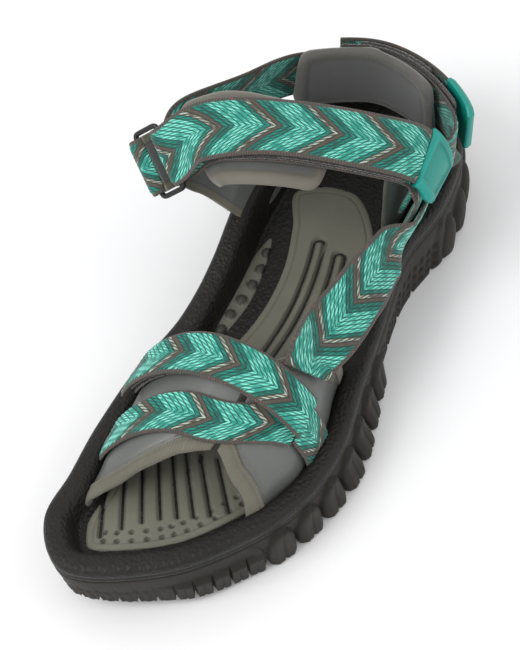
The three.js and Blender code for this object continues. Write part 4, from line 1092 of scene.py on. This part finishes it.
def mouldedTip(name, path, t0, t1, low, high, wide, free):
    # a tip with chamfered edges and a plain sunk rectangle; its free end has cut corners
    a, s = evenly(path, t0, t1, high, 0.3)
    v = np.linspace(-1, 1, 90)
    alongGrid, acrossGrid = np.meshgrid(a, v, indexing="ij")
    lengthGrid = np.repeat(s[:, None], len(v), 1)
    long, half = s[-1], wide / 2
    fromFree = lengthGrid if free == 0 else long - lengthGrid
    narrow = 1 - 0.16 * np.clip(1 - fromFree / 3.5, 0, 1)
    xGrid = acrossGrid * half * narrow
    edge = np.minimum(np.minimum(lengthGrid, long - lengthGrid), half * narrow - np.abs(xGrid))
    inside = np.minimum(np.minimum(lengthGrid, long - lengthGrid) - tips["border"] * 0.62,
                        half - np.abs(xGrid) - tips["border"])
    surface = high - tips["chamfer"] * (1 - smoothStep(0, 1.7, edge)) * 0.9 - tips["recess"] * smoothStep(0,
        0.6, inside)
    outer, inner = path(alongGrid, xGrid / half, surface, (1.2, 1.2)), path(alongGrid, xGrid / half,
        low + 0 * surface, (1.2, 1.2))
    # painted shade along the border of the sunk rectangle and a painted highlight along the crest of the
    # chamfer
    shade = 1 - 0.35 * np.exp(-(inside / 0.35) ** 2) + 0.12 * np.exp(-((edge - 1.5) / 0.5) ** 2)
    return outerSheet(name, outer, inner, materials["tip"], tint=colours["tip"] * shade[..., None])


place(mouldedTip("anklePullTip", anklePath, 14 / 32, 0.56, 6.0, 9.4, 25, 0), "ankle_tail", "moulded_tip",
      "ankle_tip")
place(mouldedTip("heelPullTip", heelPath, 0.629, 23 / 32, 6.0, 9.4, 25, 1), "heel_tail", "moulded_tip",
      "heel_tip")


# ---- ankle ring
def rectangularRing(name, bar, inner, reach, wire):
    # a round-cornered rectangular loop of flattened wire: its centre line is a superellipse-like rectangle
    p, d, w, nrm = bar
    n = 240
    a = np.linspace(0, 2 * np.pi, n, endpoint=False)
    squared = lambda c, half, corner: np.sign(c) * np.minimum(np.abs(c) * 1.0, 1) ** corner * half
    half, far = inner / 2 + wire / 2, reach / 2
    x = squared(np.cos(a), half, 0.22)
    y = squared(np.sin(a), far, 0.22)
    centre = p + d * (reach / 2) + w * x[:, None] + d * y[:, None]
    along = unit(np.roll(centre, -1, 0) - np.roll(centre, 1, 0))
    side = unit(np.cross(along, nrm))
    b = np.linspace(0, 2 * np.pi, 14, endpoint=False)
    bulge = np.stack([np.sign(np.cos(b)) * np.abs(np.cos(b)) ** 0.7,
                      np.sign(np.sin(b)) * np.abs(np.sin(b)) ** 0.7], -1) * wire / 2
    grid = centre[:, None] + side[:, None] * bulge[None, :, :1] + nrm * bulge[None, :, 1:]
    faces = gridFaces(n + 1, 14, wrap=True) % (n * 14)
    points = grid.reshape(-1, 3)
    if signedVolume(points, faces) < 0:
        faces = faces[:, ::-1]
    return makeMesh(name, points, faces, materials["ring"],
                    tint=np.broadcast_to(colours["ring"], points.shape).copy())


place(rectangularRing("ankleRing", ankleBar, 26.2, ringReach, 2.2), "sandal", "ring_plastic", "ankle_ring")

# ---- quarter panel and pads
pads = {"cap": 1.3, "pressure": 3.0, "frames": 20, "cell": 1.6}


def quarterPanel():
    # the inner side panel with a bound edge down both sides and a stitch line inside it
    a, s = evenly(quarterPath, 0, 1, 1.8, 0.8)
    v = np.linspace(-1, 1, 75)
    alongGrid, acrossGrid = np.meshgrid(a, v, indexing="ij")
    half = quarterPath.frameAt(alongGrid)[4]
    edge = half * (1 - np.abs(acrossGrid))
    lengthGrid = np.repeat(s[:, None], len(v), 1)
    seam = np.exp(-((edge - 3.6) / 0.35) ** 2)
    rib = 0.07 * np.cos(2 * np.pi * lengthGrid / 1.2) * (edge < 3)
    high = 1.5 + 0.35 * smoothStep(0, 1.2, edge) - 0.3 * seam + rib
    # binding colour along the edges; the sunk stitch line is painted 30% darker as painted shade in its
    # groove
    tone = np.where((edge < 3.2)[..., None], colours["binding"], colours["panel"]) * (1 - 0.3 * seam)[...,
        None]
    return outerSheet("quarterPanel", quarterPath(alongGrid, acrossGrid, high),
                      quarterPath(alongGrid, acrossGrid, 0.1), materials["panel"], tint=tone)


place(quarterPanel(), "sandal", "grey_panel", "medial_quarter")


def pillow(name, path, t0, t1, low, high, edges, body, node, rim, tone, rimTone, endRound=0.35):
    # a pad under a strap: both faces meet in a rolled rim, the ends are rounded in plan, then cloth puffs
    # it
    a, s = evenly(path, t0, t1, low, pads["cell"])
    v = np.linspace(-1, 1, 33)
    alongGrid, acrossGrid = np.meshgrid(a, v, indexing="ij")
    lengthGrid = np.repeat(s[:, None], len(v), 1)
    long = s[-1]
    half = path.frameAt(a)[4].mean() + (edges[0] + edges[1]) / 2
    fromEnd = np.minimum(lengthGrid, long - lengthGrid)
    corner = endRound * half
    plan = np.where(fromEnd < corner, 1 - (1 - np.sqrt(np.clip(1 - (1 - fromEnd / corner) ** 2, 0, 1)))
                    * 0.55, 1)
    edge = np.minimum(half * (1 - np.abs(acrossGrid)) + 0.01, fromEnd + 0.01)
    puff = np.sqrt(np.clip(1 - (1 - np.clip(edge / rim, 0, 1)) ** 2, 0, 1))
    middle = high - 0.9 - (high - low) * 0.35
    sink = 0.5 * np.exp(-((edge - rim * 1.05) / 0.9) ** 2)
    top = middle + (high - 0.1 - middle) * puff - sink * 0.3
    bottom = middle - (middle - low - 0.6) * puff + sink
    side = acrossGrid * plan
    outer, inner = path(alongGrid, side, bottom, edges), path(alongGrid, side, top, edges)
    # rolled rim in its own tone; the crease where the rim meets the middle is painted darker as painted
    # shade
    tint = np.where((edge < rim * 1.05)[..., None], rimTone,
                    tone) * (1 - 0.35 * np.exp(-((edge - rim * 1.05) / 0.5) ** 2))[..., None]
    pad = outerSheet(name, outer, inner, materials["lining"], tint=tint)
    puffed(pad)
    smooth = pad.modifiers.new("smooth", "SUBSURF")
    smooth.levels = smooth.render_levels = 1
    place(pad, body, "grey_panel", node)
    return pad


def puffed(pad):
    # cloth blown up a little from inside, each point held to within the cap of where it started
    mesh = pad.data
    n = len(mesh.vertices)
    rest = np.empty(n * 3, np.float32)
    mesh.vertices.foreach_get("co", rest)
    copy = bpy.data.objects.new("puffing", mesh.copy())
    copy.data.transform(Matrix.Scale(10, 4))
    bpy.context.scene.collection.objects.link(copy)
    cloth = copy.modifiers.new("cloth", "CLOTH")
    cloth.settings.use_pressure = True
    cloth.settings.uniform_pressure_force = pads["pressure"]
    cloth.settings.effector_weights.gravity = 0
    cloth.settings.tension_stiffness = 40
    cloth.settings.bending_stiffness = 2
    cloth.point_cache.frame_start, cloth.point_cache.frame_end = 1, pads["frames"]
    for k in range(1, pads["frames"] + 1):
        bpy.context.scene.frame_set(k)
    graph = bpy.context.evaluated_depsgraph_get()
    done = copy.evaluated_get(graph).to_mesh()
    moved = np.empty(n * 3, np.float32)
    done.vertices.foreach_get("co", moved)
    step = (moved / 10 - rest).reshape(-1, 3)
    far = np.linalg.norm(step, axis=1, keepdims=True)
    step *= np.minimum(1, pads["cap"] / 1000 / np.maximum(far, 1e-9))
    mesh.vertices.foreach_set("co", (rest.reshape(-1, 3) + step * 0.45).ravel())
    mesh.update()
    bpy.data.objects.remove(copy)
    bpy.context.scene.frame_set(1)
    print("puffed", pad.name, "furthest", round(float(far.max()) * 1000, 2), "mm")


rollTone, paleTone = srgb(106, 102, 92), srgb(88, 87, 83)
pillow("anklePad", anklePath, 23 / 32, 31 / 32, -7.4, -0.9, (6.5, 9), "sandal", "ankle_pad", 5.0,
       colours["panel"] * 0.8, rollTone)
pillow("heelPad", heelPath, 11 / 32, 21 / 32, -7.5, -1.0, (6, 3.5), "heel_strap", "heel_pad", 4.5,
       colours["panel"] * 0.75, paleTone)
pillow("outerAnkleFlap", flapPath, 0, 1, -3.25, 0, (0, 0), "sandal", "lateral_flap", 3.0,
       colours["panel"] * 0.95, rollTone, 0.8)
print("pads ready")
